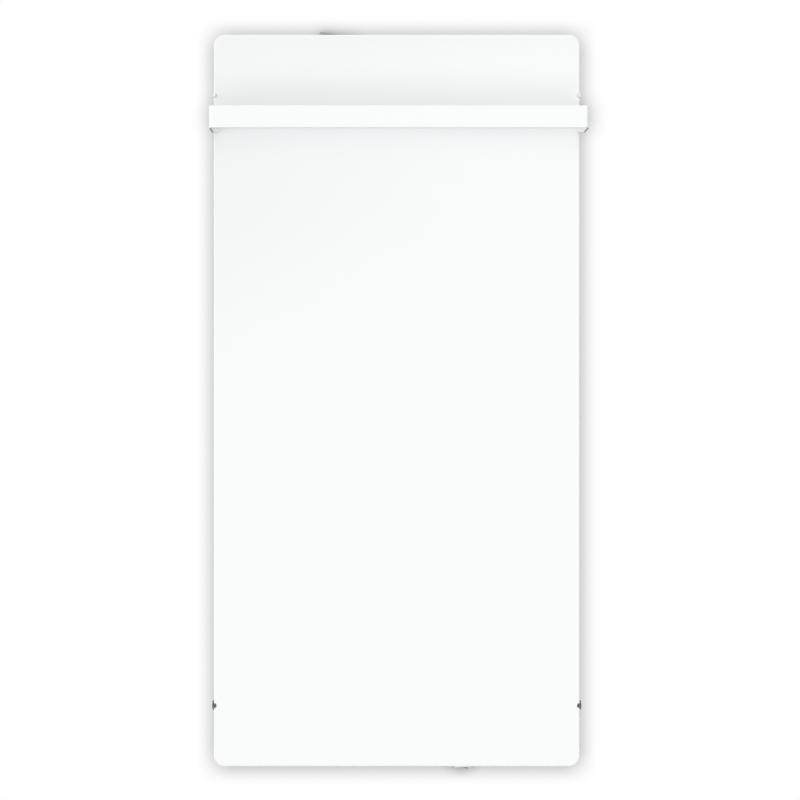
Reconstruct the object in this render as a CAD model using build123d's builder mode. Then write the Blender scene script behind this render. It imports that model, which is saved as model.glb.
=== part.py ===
from build123d import *
import os
from math import cos, radians, sin

# Wall-hung electric towel radiator: a glass heating panel with one flat towel bar.
# The origin is the centre of the four wall fixings, on the wall. X runs to the right,
# Y runs into the wall and Z runs up, so every piece lies at a negative Y. Depths are
# written as distances from the wall. All sizes are in millimetres.

os.makedirs("parts", exist_ok=True)

# Glass front
panel_width = 500.0
panel_height = 1000.0
glass_thickness = 6.0
glass_corner = 15.0
glass_edge_round = 1.5
notch_diameter = 6.0
notch_depth = 3.3
notch_from_end = 83.0

# Rear tray behind the glass
wall_gap = 24.0
tray_depth = 17.0
tray_inset = 12.0
tray_sheet = 1.0
tray_corner = 10.0
tray_bend = 2.5
tray_lip = 14.0
bead_width = 10.0
bond_thickness = 1.0
swage_height = 1.6
swage_width = 26.0
swage_slope = 25.0
swage_pitch = 165.0
swage_end_margin = 52.0

# Heating layers inside the tray
layer_margin = 2.0
film_thickness = 0.4
spreader_thickness = 0.5
spreader_side_margin = 17.0
bus_bar_width = 10.0
bus_bar_thickness = 0.3
wiring_space = 3.0
window_room = 3.0

# Towel bar
bar_height = 30.0
bar_sheet = 3.0
bar_standoff = 55.0
bar_centre_from_top = 118.7
bar_side_room = 2.5
bar_side_shift = 2.2
bar_bend = 4.5
bar_edge_round = 0.5
foot_height = 14.0
foot_reach = 8.0
foot_corner = 5.0
foot_root = 6.0
foot_pad_thickness = 0.5
foot_pad_margin = 1.0
tongue_slit = 1.4
tongue_past_stud = 5.5

# Studs and side brackets that carry the towel bar
stud_radius = 2.5
stud_tip_bevel = 0.6
stud_head_radius = 4.5
stud_head_thickness = 1.5
stud_past_glass = 6.2
stud_into_tray = 9.0
stud_above_bar_centre = 5.4
bracket_sheet = 1.5
bracket_box_height = 16.0
bracket_flange = 9.0
bracket_width = 12.0
bracket_behind_edge = 1.0

# Wall frame
fixing_span_x = 320.0
fixing_from_end = 100.0
fixing_hole_radius = 3.0
rail_length = 360.0
rail_height = 80.0
rail_sheet = 2.0
rail_edge = 12.0
rail_fold = 10.0
inside_bend = 1.0
strut_spacing = 260.0
strut_width = 24.0
strut_lip = 9.5
strut_sheet = 1.5
strut_overlap = 20.0

# Hooks on the upper rail and hangers on the tray
hanger_spacing = 200.0
hanger_width = 40.0
hanger_sheet = 2.0
hanger_flange = 46.0
hanger_leg = 13.3
hanger_corner = 5.0
hanger_rivet_drops = (14.0, 36.0)
hook_reach = 14.0
hook_lip = 18.0
hook_below_fixing = 34.0
window_relief = 1.0

# Lower spacers
spacer_tip_radius = 8.0
spacer_slope = 10.0
spacer_bore_radius = 4.5
spacer_floor = 8.0

# Locking lever at the top
lever_sheet = 2.0
lever_width = 19.0
lever_handle = 78.0
lever_lean = 10.0
lever_above_glass = 8.9
lever_grip_width = 60.0
lever_grip_height = 16.0
lever_grip_corner = 1.5
lever_pivot_x = -109.2
lever_pivot_radius = 3.0
lever_pivot_head_radius = 5.4
lever_pivot_tail_radius = 4.5
lever_finger_x = -88.0
lever_finger_radius = 4.5
lever_sweep = 54.0
ear_width = 30.0
ear_corner = 6.0
ear_joggle = 4.5
ear_rise = 1.0
lift_travel = 6.0
lift_stop_gap = 0.7

# Clips that hold the glass by its notches
clip_height = 14.0
clip_base = 3.0
clip_from_tray_back = 4.0
clip_arm = 6.0
clip_arm_rise = 2.0
clip_lead_in = 1.0
clip_corner = 2.0
nose_edge_round = 0.4
upper_nose_overhang = 1.0
upper_nose_proud = 4.0
lower_nose_overhang = 2.2
lower_nose_proud = 0.5

# Control housing at the bottom
housing_centre_x = 91.0
housing_width = 116.0
housing_height = 58.0
housing_nose_room = 2.5
housing_nose_drop = 12.0
housing_below_glass = 3.5
housing_wall = 2.0
housing_corner = 4.0
housing_screw_edge = 10.0
housing_screw_rise = 10.5
housing_screw_drop = 7.5
housing_screw_pair = (16.0, 46.0)
boss_radius = 3.5
boss_into_wall = 0.5
cover_thickness = 2.4
cover_edge_bevel = 0.8
cover_lip = 1.5
cover_lip_width = 1.3
cover_lip_relief = 3.0
cover_screw_length = 8.0
cover_screw_head = 1.2
housing_wall_clearance = 3.6

# Lead grommet between the housing and the tray
grommet_from_left = 30.0
grommet_from_bottom = 43.5
grommet_hole = 7.0
grommet_wall = 2.0
grommet_flange = 1.5
grommet_flange_thickness = 1.0

# Control board
board_width = 52.0
board_height = 35.0
board_thickness = 1.6
board_from_right = 10.0
board_from_top = 7.5
board_peg = 3.4
board_peg_radius = 2.5
board_peg_hole = 1.1
board_peg_inset = 4.0
capacitor_radius = 3.0
capacitor_height = 8.5
capacitor_bevel = 0.5
capacitor_offsets = ((16.0, -10.0), (-14.0, -12.0))

# Terminal block
terminal_from_left = 27.0
terminal_below_gland = 2.0
terminal_pitch = 9.5
terminal_gap = 1.0
terminal_height = 12.0
terminal_depth = 12.0
terminal_waist = 8.0
terminal_bevel = 0.6
terminal_well_radius = 2.2
terminal_well = 5.0
terminal_screw_length = 3.0
terminal_slot_width = 0.6
terminal_slot_depth = 0.8
wire_entry_radius = 1.7
wire_entry_depth = 4.5

# Rocker switch
switch_length = 19.0
switch_width = 13.0
switch_height = 18.5
switch_floor = 3.0
switch_wall = 0.8
switch_side_wall = 1.6
switch_pivot_rise = 2.3
bezel_lip = 1.0
bezel_thickness = 1.8
bezel_corner = 1.0
bezel_bevel = 0.5
rocker_half_length = 7.9
rocker_tilt = 9.0
rocker_face_depth = 3.8
rocker_dish = 0.8
rocker_skirt = 2.3
rocker_root = 3.0
rocker_root_rise = 5.0
rocker_edge_round = 0.5
trunnion_radius = 1.1
trunnion_seat = 0.8
blade_spacing = 6.0
blade_width = 4.8
blade_sheet = 0.8
blade_length = 6.0

# Cord inlet
gland_hex = 15.0
gland_thread_radius = 6.0
gland_locknut_thickness = 3.0
gland_thread_past_nut = 1.0
gland_above_bottom = 23.5
gland_collar = 4.0
gland_neck = 6.0
gland_seal_length = 4.0
gland_nut_length = 11.0
gland_nut_hex_length = 7.0
gland_nut_bevel = 2.2
gland_nut_gap = 0.5
gland_bore_room = 0.6
cord_hole_radius = 3.7

# Overheat cut-outs, probe, leads and earth stud
cutout_radius = 8.0
cutout_cap = 4.0
cutout_step = 0.7
cutout_lower_rise = 103.5
cutout_upper_height = 150.0
tab_reach = 14.0
tab_width = 5.0
tab_sheet = 0.8
tab_overlap = 3.0
tap_above_cutout = 25.0
lead_radius = 0.9
lead_bend = 4.0
lead_spread = 2.8
lead_step = 1.8
lead_gap = 0.2
lead_contact = 0.1
probe_from_left = -13.0
probe_above_housing = 53.5
probe_radius = 2.5
probe_length = 16.0
probe_lead_radius = 0.7
probe_lead_bend = 2.5
probe_lead_drop = 3.0
earth_from_left = 85.0
earth_above_housing = 33.5
earth_window_radius = 8.0
earth_stud_radius = 2.0
earth_stud_length = 8.0
earth_collar_radius = 3.4
earth_lug_radius = 4.0
earth_lug_reach = 8.0
earth_lug_barrel = 3.0
earth_lug_sheet = 0.8
earth_nut_flats = 7.0
earth_nut_thickness = 3.2

# Fasteners and clearances
rivet_radius = 2.0
rivet_head_radius = 3.6
rivet_head_height = 1.3
rivet_tail_radius = 3.0
screw_radius = 1.5
screw_head_radius = 2.8
screw_head_height = 1.8
screw_point = 1.6
head_slope = 30.0
thread_bite = 0.2
fastener_clearance = 0.05
running_clearance = 0.05
slot_clearance = 0.1
body_gap = 0.3
seat_gap = 0.2

# Places that follow from the sizes above
SIDES = {"left": -1, "right": 1}
tray_front = wall_gap + tray_depth
tray_floor = wall_gap + tray_sheet
tray_width = panel_width - 2 * tray_inset
tray_height = panel_height - 2 * tray_inset
tray_side = tray_width / 2
glass_back = tray_front + bond_thickness
glass_front = glass_back + glass_thickness
opening_width = tray_width - 2 * tray_lip
opening_height = tray_height - 2 * tray_lip
layer_width = opening_width - 2 * layer_margin
layer_height = opening_height - 2 * layer_margin
film_back = glass_back - film_thickness
bus_bar_back = film_back - bus_bar_thickness
bus_bar_x = layer_width / 2 - spreader_side_margin / 2
spreader_back = film_back - spreader_thickness
spreader_width = layer_width - 2 * spreader_side_margin
insulation_back = tray_floor + wiring_space
notch_height = panel_height / 2 - notch_from_end
notch_centre = panel_width / 2 - notch_depth + notch_diameter / 2
bar_front = glass_front + bar_standoff
bar_centre_height = panel_height / 2 - bar_centre_from_top
bar_bottom = bar_centre_height - bar_height / 2
bar_top = bar_centre_height + bar_height / 2
stud_from_wall = wall_gap + stud_into_tray
stud_height = bar_centre_height + stud_above_bar_centre
fixing_height = panel_height / 2 - fixing_from_end
fixing_places = [(side * fixing_span_x / 2, fixing_height) for side in (-1, 1)]
rail_top = fixing_height + rail_edge
rail_bottom = rail_top - rail_height
hook_web = fixing_height - hook_below_fixing
hook_top = hook_web + hook_lip
hanger_web = hook_top + body_gap
hanger_top = hanger_web + hanger_sheet
lean = radians(lever_lean)
lever_pivot_z = panel_height / 2 + lever_above_glass - lever_handle * cos(lean)
housing_nose_width = switch_length + 2 * (housing_nose_room + housing_wall)
nose_bottom = -panel_height / 2 - housing_below_glass
housing_bottom = nose_bottom + housing_nose_drop
housing_top = housing_bottom + housing_height
housing_left = housing_centre_x - housing_width / 2
housing_right = housing_centre_x + housing_width / 2
housing_middle = (housing_centre_x, (housing_bottom + housing_top) / 2)
housing_floor = wall_gap - housing_wall
housing_rim = housing_wall_clearance + cover_thickness
grommet_x = housing_left + grommet_from_left
grommet_z = housing_bottom + grommet_from_bottom
gland_height = housing_bottom + gland_above_bottom
gland_depth = (housing_rim + housing_floor) / 2
switch_depth = (wall_gap + housing_rim) / 2 - seat_gap


def rear_plane(depth):
    """The plane parallel to the wall at a distance from it, facing the room."""
    return Plane.XZ.offset(depth)


def side_plane(distance, side):
    """The upright plane at a distance from the middle, facing it. A depth is side * depth."""
    return Plane(origin=(side * distance, 0, 0), x_dir=(0, -side, 0), z_dir=(-side, 0, 0))


def outward(side):
    """The axis along which the outer edges of a piece at that side come last."""
    return Axis.X if side > 0 else -Axis.X


def folded_strip(plane, outline, sheet, width, side=Side.LEFT, bend=inside_bend):
    """A strip of sheet bent along an open outline and run straight over its width."""
    with BuildPart() as strip:
        with BuildSketch(plane):
            with BuildLine():
                FilletPolyline(*outline, radius=sheet + bend)
                offset(amount=sheet, side=side)
            make_face()
        extrude(amount=width)
    return strip.part


def headed_pins(plane, places, radius, length, head_radius, head_height):
    """Pins, one at each place, with a shank above the plane and a tapered head below it."""
    with BuildPart() as pins:
        with BuildSketch(plane):
            with Locations(*places):
                Circle(radius)
        extrude(amount=length)
        with BuildSketch(plane):
            with Locations(*places):
                Circle(head_radius)
        extrude(amount=-head_height, taper=head_slope)
    return pins.part


def rivets(plane, places, grip):
    """Rivets through a grip of sheet, clenched over behind it."""
    with BuildPart() as clenched:
        add(headed_pins(plane, places, rivet_radius, grip, rivet_head_radius, rivet_head_height))
        with BuildSketch(plane.offset(grip)):
            with Locations(*places):
                Circle(rivet_tail_radius)
        extrude(amount=rivet_head_height)
    return clenched.part


def screws(plane, places, grip):
    """Screws through a grip, with their points standing out behind it."""
    return headed_pins(plane, places, screw_radius, grip + screw_point, screw_head_radius, screw_head_height)


def tube_along(points, radius, bend):
    """A round lead along straight runs joined by arcs."""
    with BuildPart() as tube:
        with BuildLine():
            route = FilletPolyline(*points, radius=bend)
        with BuildSketch(Plane(route @ 0, z_dir=route % 0)):
            Circle(radius)
        sweep(path=route)
    return tube.part


def finish(piece, name):
    """Name a finished piece and write it."""
    piece.part.label = name
    export_step(piece.part, f"parts/{name}.step")


# Wall frame: two folded rails and two channel struts, riveted into an H
strut_end = rail_bottom + strut_overlap
strut_rivet_z = rail_bottom + strut_overlap / 2
strut_rivet_x = [
    side * strut_spacing / 2 + step * strut_width / 4 for side in (-1, 1) for step in (-1, 1)
]
hook_places = [side * hanger_spacing / 2 for side in (-1, 1)]
window_bottom = hook_web - rail_sheet
window_top = hook_web + hook_reach + hook_lip
ear_top = lever_pivot_z + ear_width / 2
fold_gap_left = lever_pivot_x - ear_width / 2 - rail_sheet
fold_gap_right = lever_pivot_x + lever_sweep

rail_plate = folded_strip(
    Plane.YZ.offset(-rail_length / 2),
    [(0, rail_bottom), (0, rail_top), (-rail_fold, rail_top)],
    rail_sheet,
    rail_length,
)
hook_strips = [
    folded_strip(
        Plane.YZ.offset(x - hanger_width / 2),
        [
            (0, strut_end),
            (0, hook_web + rail_sheet),
            (rail_sheet - hook_reach, hook_web + rail_sheet),
            (rail_sheet - hook_reach, hook_top),
        ],
        rail_sheet,
        hanger_width,
    )
    for x in hook_places
]
ear_strip = folded_strip(
    Plane.YZ.offset(lever_pivot_x - ear_width / 2),
    [
        (0, window_top + rail_sheet),
        (0, rail_top + ear_rise),
        (-ear_joggle, rail_top + ear_rise + ear_joggle),
        (-ear_joggle, ear_top),
    ],
    rail_sheet,
    ear_width,
)

with BuildPart() as wall_rail_upper:
    add(rail_plate)
    with BuildSketch(rear_plane(0)):
        with Locations(*[(x, (window_bottom + window_top) / 2) for x in hook_places]):
            RectangleRounded(hanger_width + 2 * window_relief, window_top - window_bottom, window_relief)
    extrude(amount=rail_sheet, mode=Mode.SUBTRACT)
    with BuildSketch(rear_plane(rail_sheet)):
        with Locations(((fold_gap_left + fold_gap_right) / 2, rail_top)):
            Rectangle(fold_gap_right - fold_gap_left, 2 * rail_edge)
    extrude(amount=rail_fold, mode=Mode.SUBTRACT)
    add(hook_strips)
    add(ear_strip)
    with BuildSketch(rear_plane(0)):
        with Locations(*fixing_places):
            Circle(fixing_hole_radius)
        with Locations(*[(x, strut_rivet_z) for x in strut_rivet_x]):
            Circle(rivet_radius + fastener_clearance)
        with Locations((lever_pivot_x, lever_pivot_z)):
            Circle(lever_pivot_radius + fastener_clearance)
    extrude(amount=hook_reach, mode=Mode.SUBTRACT)
    ear_corners = wall_rail_upper.edges().filter_by(Axis.Y).group_by(Axis.Z)[-1]
    fillet(ear_corners, ear_corner)
finish(wall_rail_upper, "wall_rail_upper")

with BuildPart() as wall_rail_lower:
    add(mirror(rail_plate, about=Plane.XY))
    with BuildSketch(rear_plane(0)):
        with Locations(*[(x, -z) for x, z in fixing_places]):
            Circle(fixing_hole_radius)
        with Locations(*[(x, -strut_rivet_z) for x in strut_rivet_x]):
            Circle(rivet_radius + fastener_clearance)
    extrude(amount=rail_sheet, mode=Mode.SUBTRACT)
finish(wall_rail_lower, "wall_rail_lower")

for name, side in SIDES.items():
    strut_left_edge = side * strut_spacing / 2 - strut_width / 2
    strut_right_edge = strut_left_edge + strut_width
    channel = folded_strip(
        Plane.XY.offset(-strut_end),
        [
            (strut_left_edge, -rail_sheet - strut_lip),
            (strut_left_edge, -rail_sheet),
            (strut_right_edge, -rail_sheet),
            (strut_right_edge, -rail_sheet - strut_lip),
        ],
        strut_sheet,
        2 * strut_end,
        Side.RIGHT,
    )
    with BuildPart() as strut:
        add(channel)
        with BuildSketch(rear_plane(rail_sheet)):
            with Locations(*[(x, end * strut_rivet_z) for x in strut_rivet_x for end in (-1, 1)]):
                Circle(rivet_radius + fastener_clearance)
        extrude(amount=strut_sheet, mode=Mode.SUBTRACT)
        lip_ends = strut.edges().filter_by(Axis.X).group_by(Axis.Y)[0]
        chamfer(lip_ends, strut_lip / 2)
    finish(strut, f"wall_strut_{name}")

frame_joint = rail_sheet + strut_sheet
with BuildPart() as frame_rivets:
    add(
        headed_pins(
            Plane(origin=(0, -frame_joint, 0), x_dir=(-1, 0, 0), z_dir=(0, 1, 0)),
            [(-x, end * strut_rivet_z) for x in strut_rivet_x for end in (-1, 1)],
            rivet_radius,
            frame_joint - fastener_clearance,
            rivet_head_radius,
            rivet_head_height,
        )
    )
finish(frame_rivets, "frame_rivets")

# Locking lever: its finger stands over the left hanger, and its grip reaches above the glass
ear_front = ear_joggle + rail_sheet
lever_back = ear_front + body_gap
lever_front = lever_back + lever_sheet
lever_pivot_place = (lever_pivot_x, lever_pivot_z)
finger_centre = (lever_finger_x, hanger_top + lift_travel + lift_stop_gap + lever_finger_radius)
grip_along = lever_handle - lever_grip_height / 2
grip_across = (lever_grip_width - lever_width) / 2


def on_lever(along, across):
    """A place on the leaning lever, measured from its pivot, turned with it."""
    x = lever_pivot_x + along * sin(lean) + across * cos(lean)
    z = lever_pivot_z + along * cos(lean) - across * sin(lean)
    return Location((x, z, 0), -lever_lean)


with BuildPart() as lock_lever:
    with BuildSketch(rear_plane(lever_back)):
        with Locations(lever_pivot_place):
            Circle(lever_width / 2)
        with Locations(finger_centre):
            Circle(lever_finger_radius)
        make_hull()
        with Locations(on_lever(lever_handle / 2, 0)):
            Rectangle(lever_width, lever_handle)
        with Locations(on_lever(grip_along, grip_across)):
            Rectangle(lever_grip_width, lever_grip_height)
        with Locations(lever_pivot_place):
            Circle(lever_pivot_radius + running_clearance, mode=Mode.SUBTRACT)
    extrude(amount=lever_sheet)
    upright_edges = lock_lever.edges().filter_by(Axis.Y)
    grip_end = upright_edges.sort_by(Axis.X)[-2:]
    fillet(upright_edges.sort_by(Axis.Z)[-1:] + grip_end, lever_grip_corner)
finish(lock_lever, "lock_lever")

with BuildPart() as lever_pivot:
    with BuildSketch(rear_plane(ear_joggle)):
        with Locations(lever_pivot_place):
            Circle(lever_pivot_radius)
    extrude(amount=lever_front + body_gap - ear_joggle)
    with BuildSketch(rear_plane(lever_front + body_gap)):
        with Locations(lever_pivot_place):
            Circle(lever_pivot_head_radius)
    extrude(amount=rivet_head_height, taper=head_slope)
    with BuildSketch(rear_plane(ear_joggle)):
        with Locations(lever_pivot_place):
            Circle(lever_pivot_tail_radius)
    extrude(amount=-rivet_head_height)
finish(lever_pivot, "lever_pivot")

# Glass front with four half-round notches in its long edges
notch_places = [(sx * notch_centre, sz * notch_height) for sx in (-1, 1) for sz in (-1, 1)]
with BuildPart() as front_glass:
    with BuildSketch(rear_plane(glass_back)):
        RectangleRounded(panel_width, panel_height, glass_corner)
        with Locations(*notch_places):
            Circle(notch_diameter / 2, mode=Mode.SUBTRACT)
    extrude(amount=glass_thickness)
    rim = front_glass.edges().group_by(Axis.Y)[0]
    fillet(rim, glass_edge_round)
finish(front_glass, "front_glass")

bond_inner_width = opening_width + 2 * layer_margin
bond_inner_height = opening_height + 2 * layer_margin
with BuildPart() as glass_bond:
    with BuildSketch(rear_plane(tray_front)):
        RectangleRounded(bond_inner_width + 2 * bead_width, bond_inner_height + 2 * bead_width, tray_corner)
        RectangleRounded(bond_inner_width, bond_inner_height, layer_margin, mode=Mode.SUBTRACT)
    extrude(amount=bond_thickness)
finish(glass_bond, "glass_bond")

# Heating film with its two bus bars, and the sheet that spreads the heat
with BuildPart() as heating_film:
    with BuildSketch(rear_plane(film_back)):
        Rectangle(layer_width, layer_height)
    extrude(amount=film_thickness)
finish(heating_film, "heating_film")

with BuildPart() as bus_bars:
    with BuildSketch(rear_plane(bus_bar_back)):
        with Locations((-bus_bar_x, 0), (bus_bar_x, 0)):
            Rectangle(bus_bar_width, layer_height - 2 * bus_bar_width)
    extrude(amount=bus_bar_thickness)
finish(bus_bars, "bus_bars")

with BuildPart() as heat_spreader:
    with BuildSketch(rear_plane(spreader_back)):
        Rectangle(spreader_width, layer_height)
    extrude(amount=spreader_thickness)
finish(heat_spreader, "heat_spreader")

# Insulation, with a window for each part that stands in it
cutout_x = grommet_x
cutout_heights = (housing_top + cutout_lower_rise, cutout_upper_height)
cutout_places = [(cutout_x, z) for z in cutout_heights]
live_tap_height = cutout_upper_height + tap_above_cutout
neutral_tap_height = grommet_z - lead_step
probe_place = (housing_left + probe_from_left, housing_top + probe_above_housing)
earth_place = (housing_left + earth_from_left, housing_top + earth_above_housing)
with BuildPart() as insulation_board:
    with BuildSketch(rear_plane(insulation_back)):
        Rectangle(layer_width, layer_height)
        with Locations(*cutout_places):
            RectangleRounded(
                2 * (cutout_radius + window_room),
                2 * (tab_reach + window_room),
                window_room,
                mode=Mode.SUBTRACT,
            )
        with Locations((bus_bar_x, live_tap_height), (-bus_bar_x, neutral_tap_height)):
            Circle(bus_bar_width / 2, mode=Mode.SUBTRACT)
        with Locations(earth_place):
            Circle(earth_window_radius, mode=Mode.SUBTRACT)
        with Locations(probe_place):
            SlotOverall(
                probe_length + 4 * window_room,
                2 * (probe_radius + window_room),
                rotation=90,
                mode=Mode.SUBTRACT,
            )
    extrude(amount=spreader_back - insulation_back)
finish(insulation_board, "insulation_board")

# Rear tray: a shallow folded box with three pressed stiffening beads
hanger_rivet_places = [
    (x + step * hanger_width / 4, hanger_web - drop)
    for x in hook_places
    for step in (-1, 1)
    for drop in hanger_rivet_drops
]
spacer_places = [(x, -(rail_bottom + rail_height / 2)) for x in hook_places]
housing_screw_places = [
    (housing_left + housing_screw_edge, housing_bottom + housing_screw_rise),
    (housing_right - housing_screw_edge, housing_bottom + housing_screw_rise),
    *[(housing_left + along, housing_top - housing_screw_drop) for along in housing_screw_pair],
]
bracket_rivet_reach = bracket_box_height / 2 + bracket_sheet + bracket_flange / 2
bracket_rivet_heights = [stud_height + step * bracket_rivet_reach for step in (-1, 1)]
clip_screw_heights = [-notch_height, notch_height]
swage_places = [(step * swage_pitch, 0.0) for step in (-1, 0, 1)]
swage_length = 2 * (rail_bottom - swage_end_margin)

with BuildPart() as rear_tray:
    with BuildSketch(rear_plane(wall_gap)):
        RectangleRounded(tray_width, tray_height, tray_corner)
    extrude(amount=tray_depth)
    fillet(rear_tray.edges().group_by(Axis.Y)[-1], tray_bend)
    room_face = rear_tray.faces().sort_by(Axis.Y)[0]
    offset(amount=-tray_sheet, openings=room_face)
    with BuildSketch(rear_plane(tray_front - tray_sheet)):
        RectangleRounded(tray_width, tray_height, tray_corner)
        RectangleRounded(opening_width, opening_height, layer_margin, mode=Mode.SUBTRACT)
    extrude(amount=tray_sheet)
    with BuildSketch(rear_plane(tray_floor)):
        with Locations(*swage_places):
            SlotOverall(swage_length, swage_width, rotation=90)
    extrude(amount=-tray_sheet - swage_height, taper=swage_slope)
    with BuildSketch(rear_plane(tray_floor)):
        with Locations(*swage_places):
            SlotOverall(swage_length - 2 * tray_sheet, swage_width - 2 * tray_sheet, rotation=90)
    extrude(amount=-swage_height, taper=swage_slope, mode=Mode.SUBTRACT)
    with BuildSketch(rear_plane(wall_gap)):
        with Locations(*hanger_rivet_places):
            Circle(rivet_radius + fastener_clearance)
        with Locations(*spacer_places, *housing_screw_places):
            Circle(screw_radius + fastener_clearance)
        with Locations((grommet_x, grommet_z)):
            Circle(grommet_hole)
    extrude(amount=tray_sheet, mode=Mode.SUBTRACT)
    with BuildSketch(side_plane(tray_side + tray_sheet, -1)):
        with Locations(*[(-stud_from_wall, z) for z in bracket_rivet_heights]):
            Circle(rivet_radius + fastener_clearance)
        with Locations(*[(-stud_from_wall, z) for z in clip_screw_heights]):
            Circle(screw_radius + fastener_clearance)
    extrude(amount=tray_width + 2 * tray_sheet, mode=Mode.SUBTRACT)
finish(rear_tray, "rear_tray")

# Hangers, riveted to the tray, whose legs drop into the hooks of the wall frame
hanger_leg_front = (hook_reach + hanger_sheet) / 2
for name, side in SIDES.items():
    strip = folded_strip(
        Plane.YZ.offset(side * hanger_spacing / 2 - hanger_width / 2),
        [
            (-wall_gap, hanger_top - hanger_flange),
            (-wall_gap, hanger_top),
            (-hanger_leg_front, hanger_top),
            (-hanger_leg_front, hanger_top - hanger_leg),
        ],
        hanger_sheet,
        hanger_width,
        Side.RIGHT,
    )
    with BuildPart() as hanger:
        add(strip)
        with BuildSketch(rear_plane(wall_gap - hanger_sheet)):
            with Locations(*hanger_rivet_places):
                Circle(rivet_radius + fastener_clearance)
        extrude(amount=hanger_sheet, mode=Mode.SUBTRACT)
        fillet(hanger.edges().filter_by(Axis.Y).group_by(Axis.Z)[0], hanger_corner)
    finish(hanger, f"hanger_{name}")

with BuildPart() as hanger_rivets:
    add(rivets(rear_plane(wall_gap - hanger_sheet), hanger_rivet_places, hanger_sheet + tray_sheet))
finish(hanger_rivets, "hanger_rivets")

# Spacers that hold the lower end off the wall frame
spacer_tip = rail_sheet + body_gap
spacer_seat = wall_gap - spacer_floor
for place, name in zip(spacer_places, SIDES):
    with BuildPart() as spacer:
        with BuildSketch(rear_plane(spacer_tip)):
            with Locations(place):
                Circle(spacer_tip_radius)
        extrude(amount=wall_gap - spacer_tip, taper=-spacer_slope)
        with BuildSketch(rear_plane(spacer_tip)):
            with Locations(place):
                Circle(spacer_bore_radius)
        extrude(amount=spacer_seat - spacer_tip, mode=Mode.SUBTRACT)
        with BuildSketch(rear_plane(spacer_seat)):
            with Locations(place):
                Circle(screw_radius + fastener_clearance)
        extrude(amount=spacer_floor, mode=Mode.SUBTRACT)
    finish(spacer, f"spacer_{name}")

with BuildPart() as spacer_screws:
    add(screws(rear_plane(spacer_seat), spacer_places, spacer_floor + tray_sheet))
finish(spacer_screws, "spacer_screws")

# Clips that hold the glass by its four notches
clip_back = wall_gap + clip_from_tray_back
clip_front = glass_back - seat_gap
clip_arm_back = glass_back - clip_arm
clip_outer = tray_side + clip_base
nose_width = notch_diameter - 2 * body_gap
nose_inner = notch_centre - notch_diameter / 2 + seat_gap
nose_round_x = nose_inner + nose_width / 2
clip_styles = {
    "upper": {"height": notch_height, "overhang": upper_nose_overhang, "proud": upper_nose_proud},
    "lower": {"height": -notch_height, "overhang": lower_nose_overhang, "proud": lower_nose_proud},
}
for level, style in clip_styles.items():
    arm_end = panel_width / 2 + style["overhang"]
    nose_lower = style["height"] - nose_width / 2
    nose_upper = style["height"] + nose_width / 2
    for name, side in SIDES.items():
        with BuildPart() as clip:
            with BuildSketch(Plane.XY.offset(style["height"] - clip_height / 2)):
                with BuildLine():
                    Polyline(
                        (side * tray_side, -clip_back),
                        (side * clip_outer, -clip_back),
                        (side * clip_outer, -clip_arm_back),
                        (side * arm_end, -clip_arm_back - clip_arm_rise),
                        (side * arm_end, -clip_front),
                        (side * (tray_side + clip_lead_in), -clip_front),
                        (side * tray_side, -clip_front + clip_lead_in),
                        close=True,
                    )
                make_face()
            extrude(amount=clip_height)
            fillet(clip.edges().filter_by(Axis.Y).group_by(outward(side))[-1], clip_corner)
            with BuildSketch(rear_plane(clip_front)):
                with BuildLine():
                    Polyline(
                        (side * nose_round_x, nose_lower),
                        (side * arm_end, nose_lower),
                        (side * arm_end, nose_upper),
                        (side * nose_round_x, nose_upper),
                    )
                    ThreePointArc(
                        (side * nose_round_x, nose_upper),
                        (side * nose_inner, style["height"]),
                        (side * nose_round_x, nose_lower),
                    )
                make_face()
            extrude(amount=glass_front + style["proud"] - clip_front)
            fillet(clip.edges().group_by(Axis.Y)[0], nose_edge_round)
            with BuildSketch(side_plane(clip_outer, side)):
                with Locations((side * stud_from_wall, style["height"])):
                    Circle(screw_radius + fastener_clearance)
            extrude(amount=clip_base, mode=Mode.SUBTRACT)
        finish(clip, f"glass_clip_{level}_{name}")

with BuildPart() as clip_screws:
    for side in SIDES.values():
        places = [(side * stud_from_wall, z) for z in clip_screw_heights]
        add(screws(side_plane(clip_outer, side), places, clip_base + tray_sheet))
finish(clip_screws, "clip_screws")

# Side brackets and studs that the towel bar hooks over
bracket_face = panel_width / 2 - bracket_behind_edge
bracket_inner = bracket_face - bracket_sheet
box_half = bracket_box_height / 2
flange_end = box_half + bracket_sheet + bracket_flange
for name, side in SIDES.items():
    hat = folded_strip(
        rear_plane(stud_from_wall - bracket_width / 2),
        [
            (side * tray_side, stud_height + flange_end),
            (side * tray_side, stud_height + box_half),
            (side * bracket_inner, stud_height + box_half),
            (side * bracket_inner, stud_height - box_half),
            (side * tray_side, stud_height - box_half),
            (side * tray_side, stud_height - flange_end),
        ],
        bracket_sheet,
        bracket_width,
        Side.LEFT if side > 0 else Side.RIGHT,
    )
    with BuildPart() as bracket:
        add(hat)
        with BuildSketch(side_plane(bracket_face, side)):
            with Locations(*[(side * stud_from_wall, z) for z in bracket_rivet_heights]):
                Circle(rivet_radius + fastener_clearance)
            with Locations((side * stud_from_wall, stud_height)):
                Circle(stud_radius + fastener_clearance)
        extrude(amount=bracket_face - tray_side, mode=Mode.SUBTRACT)
    finish(bracket, f"bar_bracket_{name}")

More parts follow.
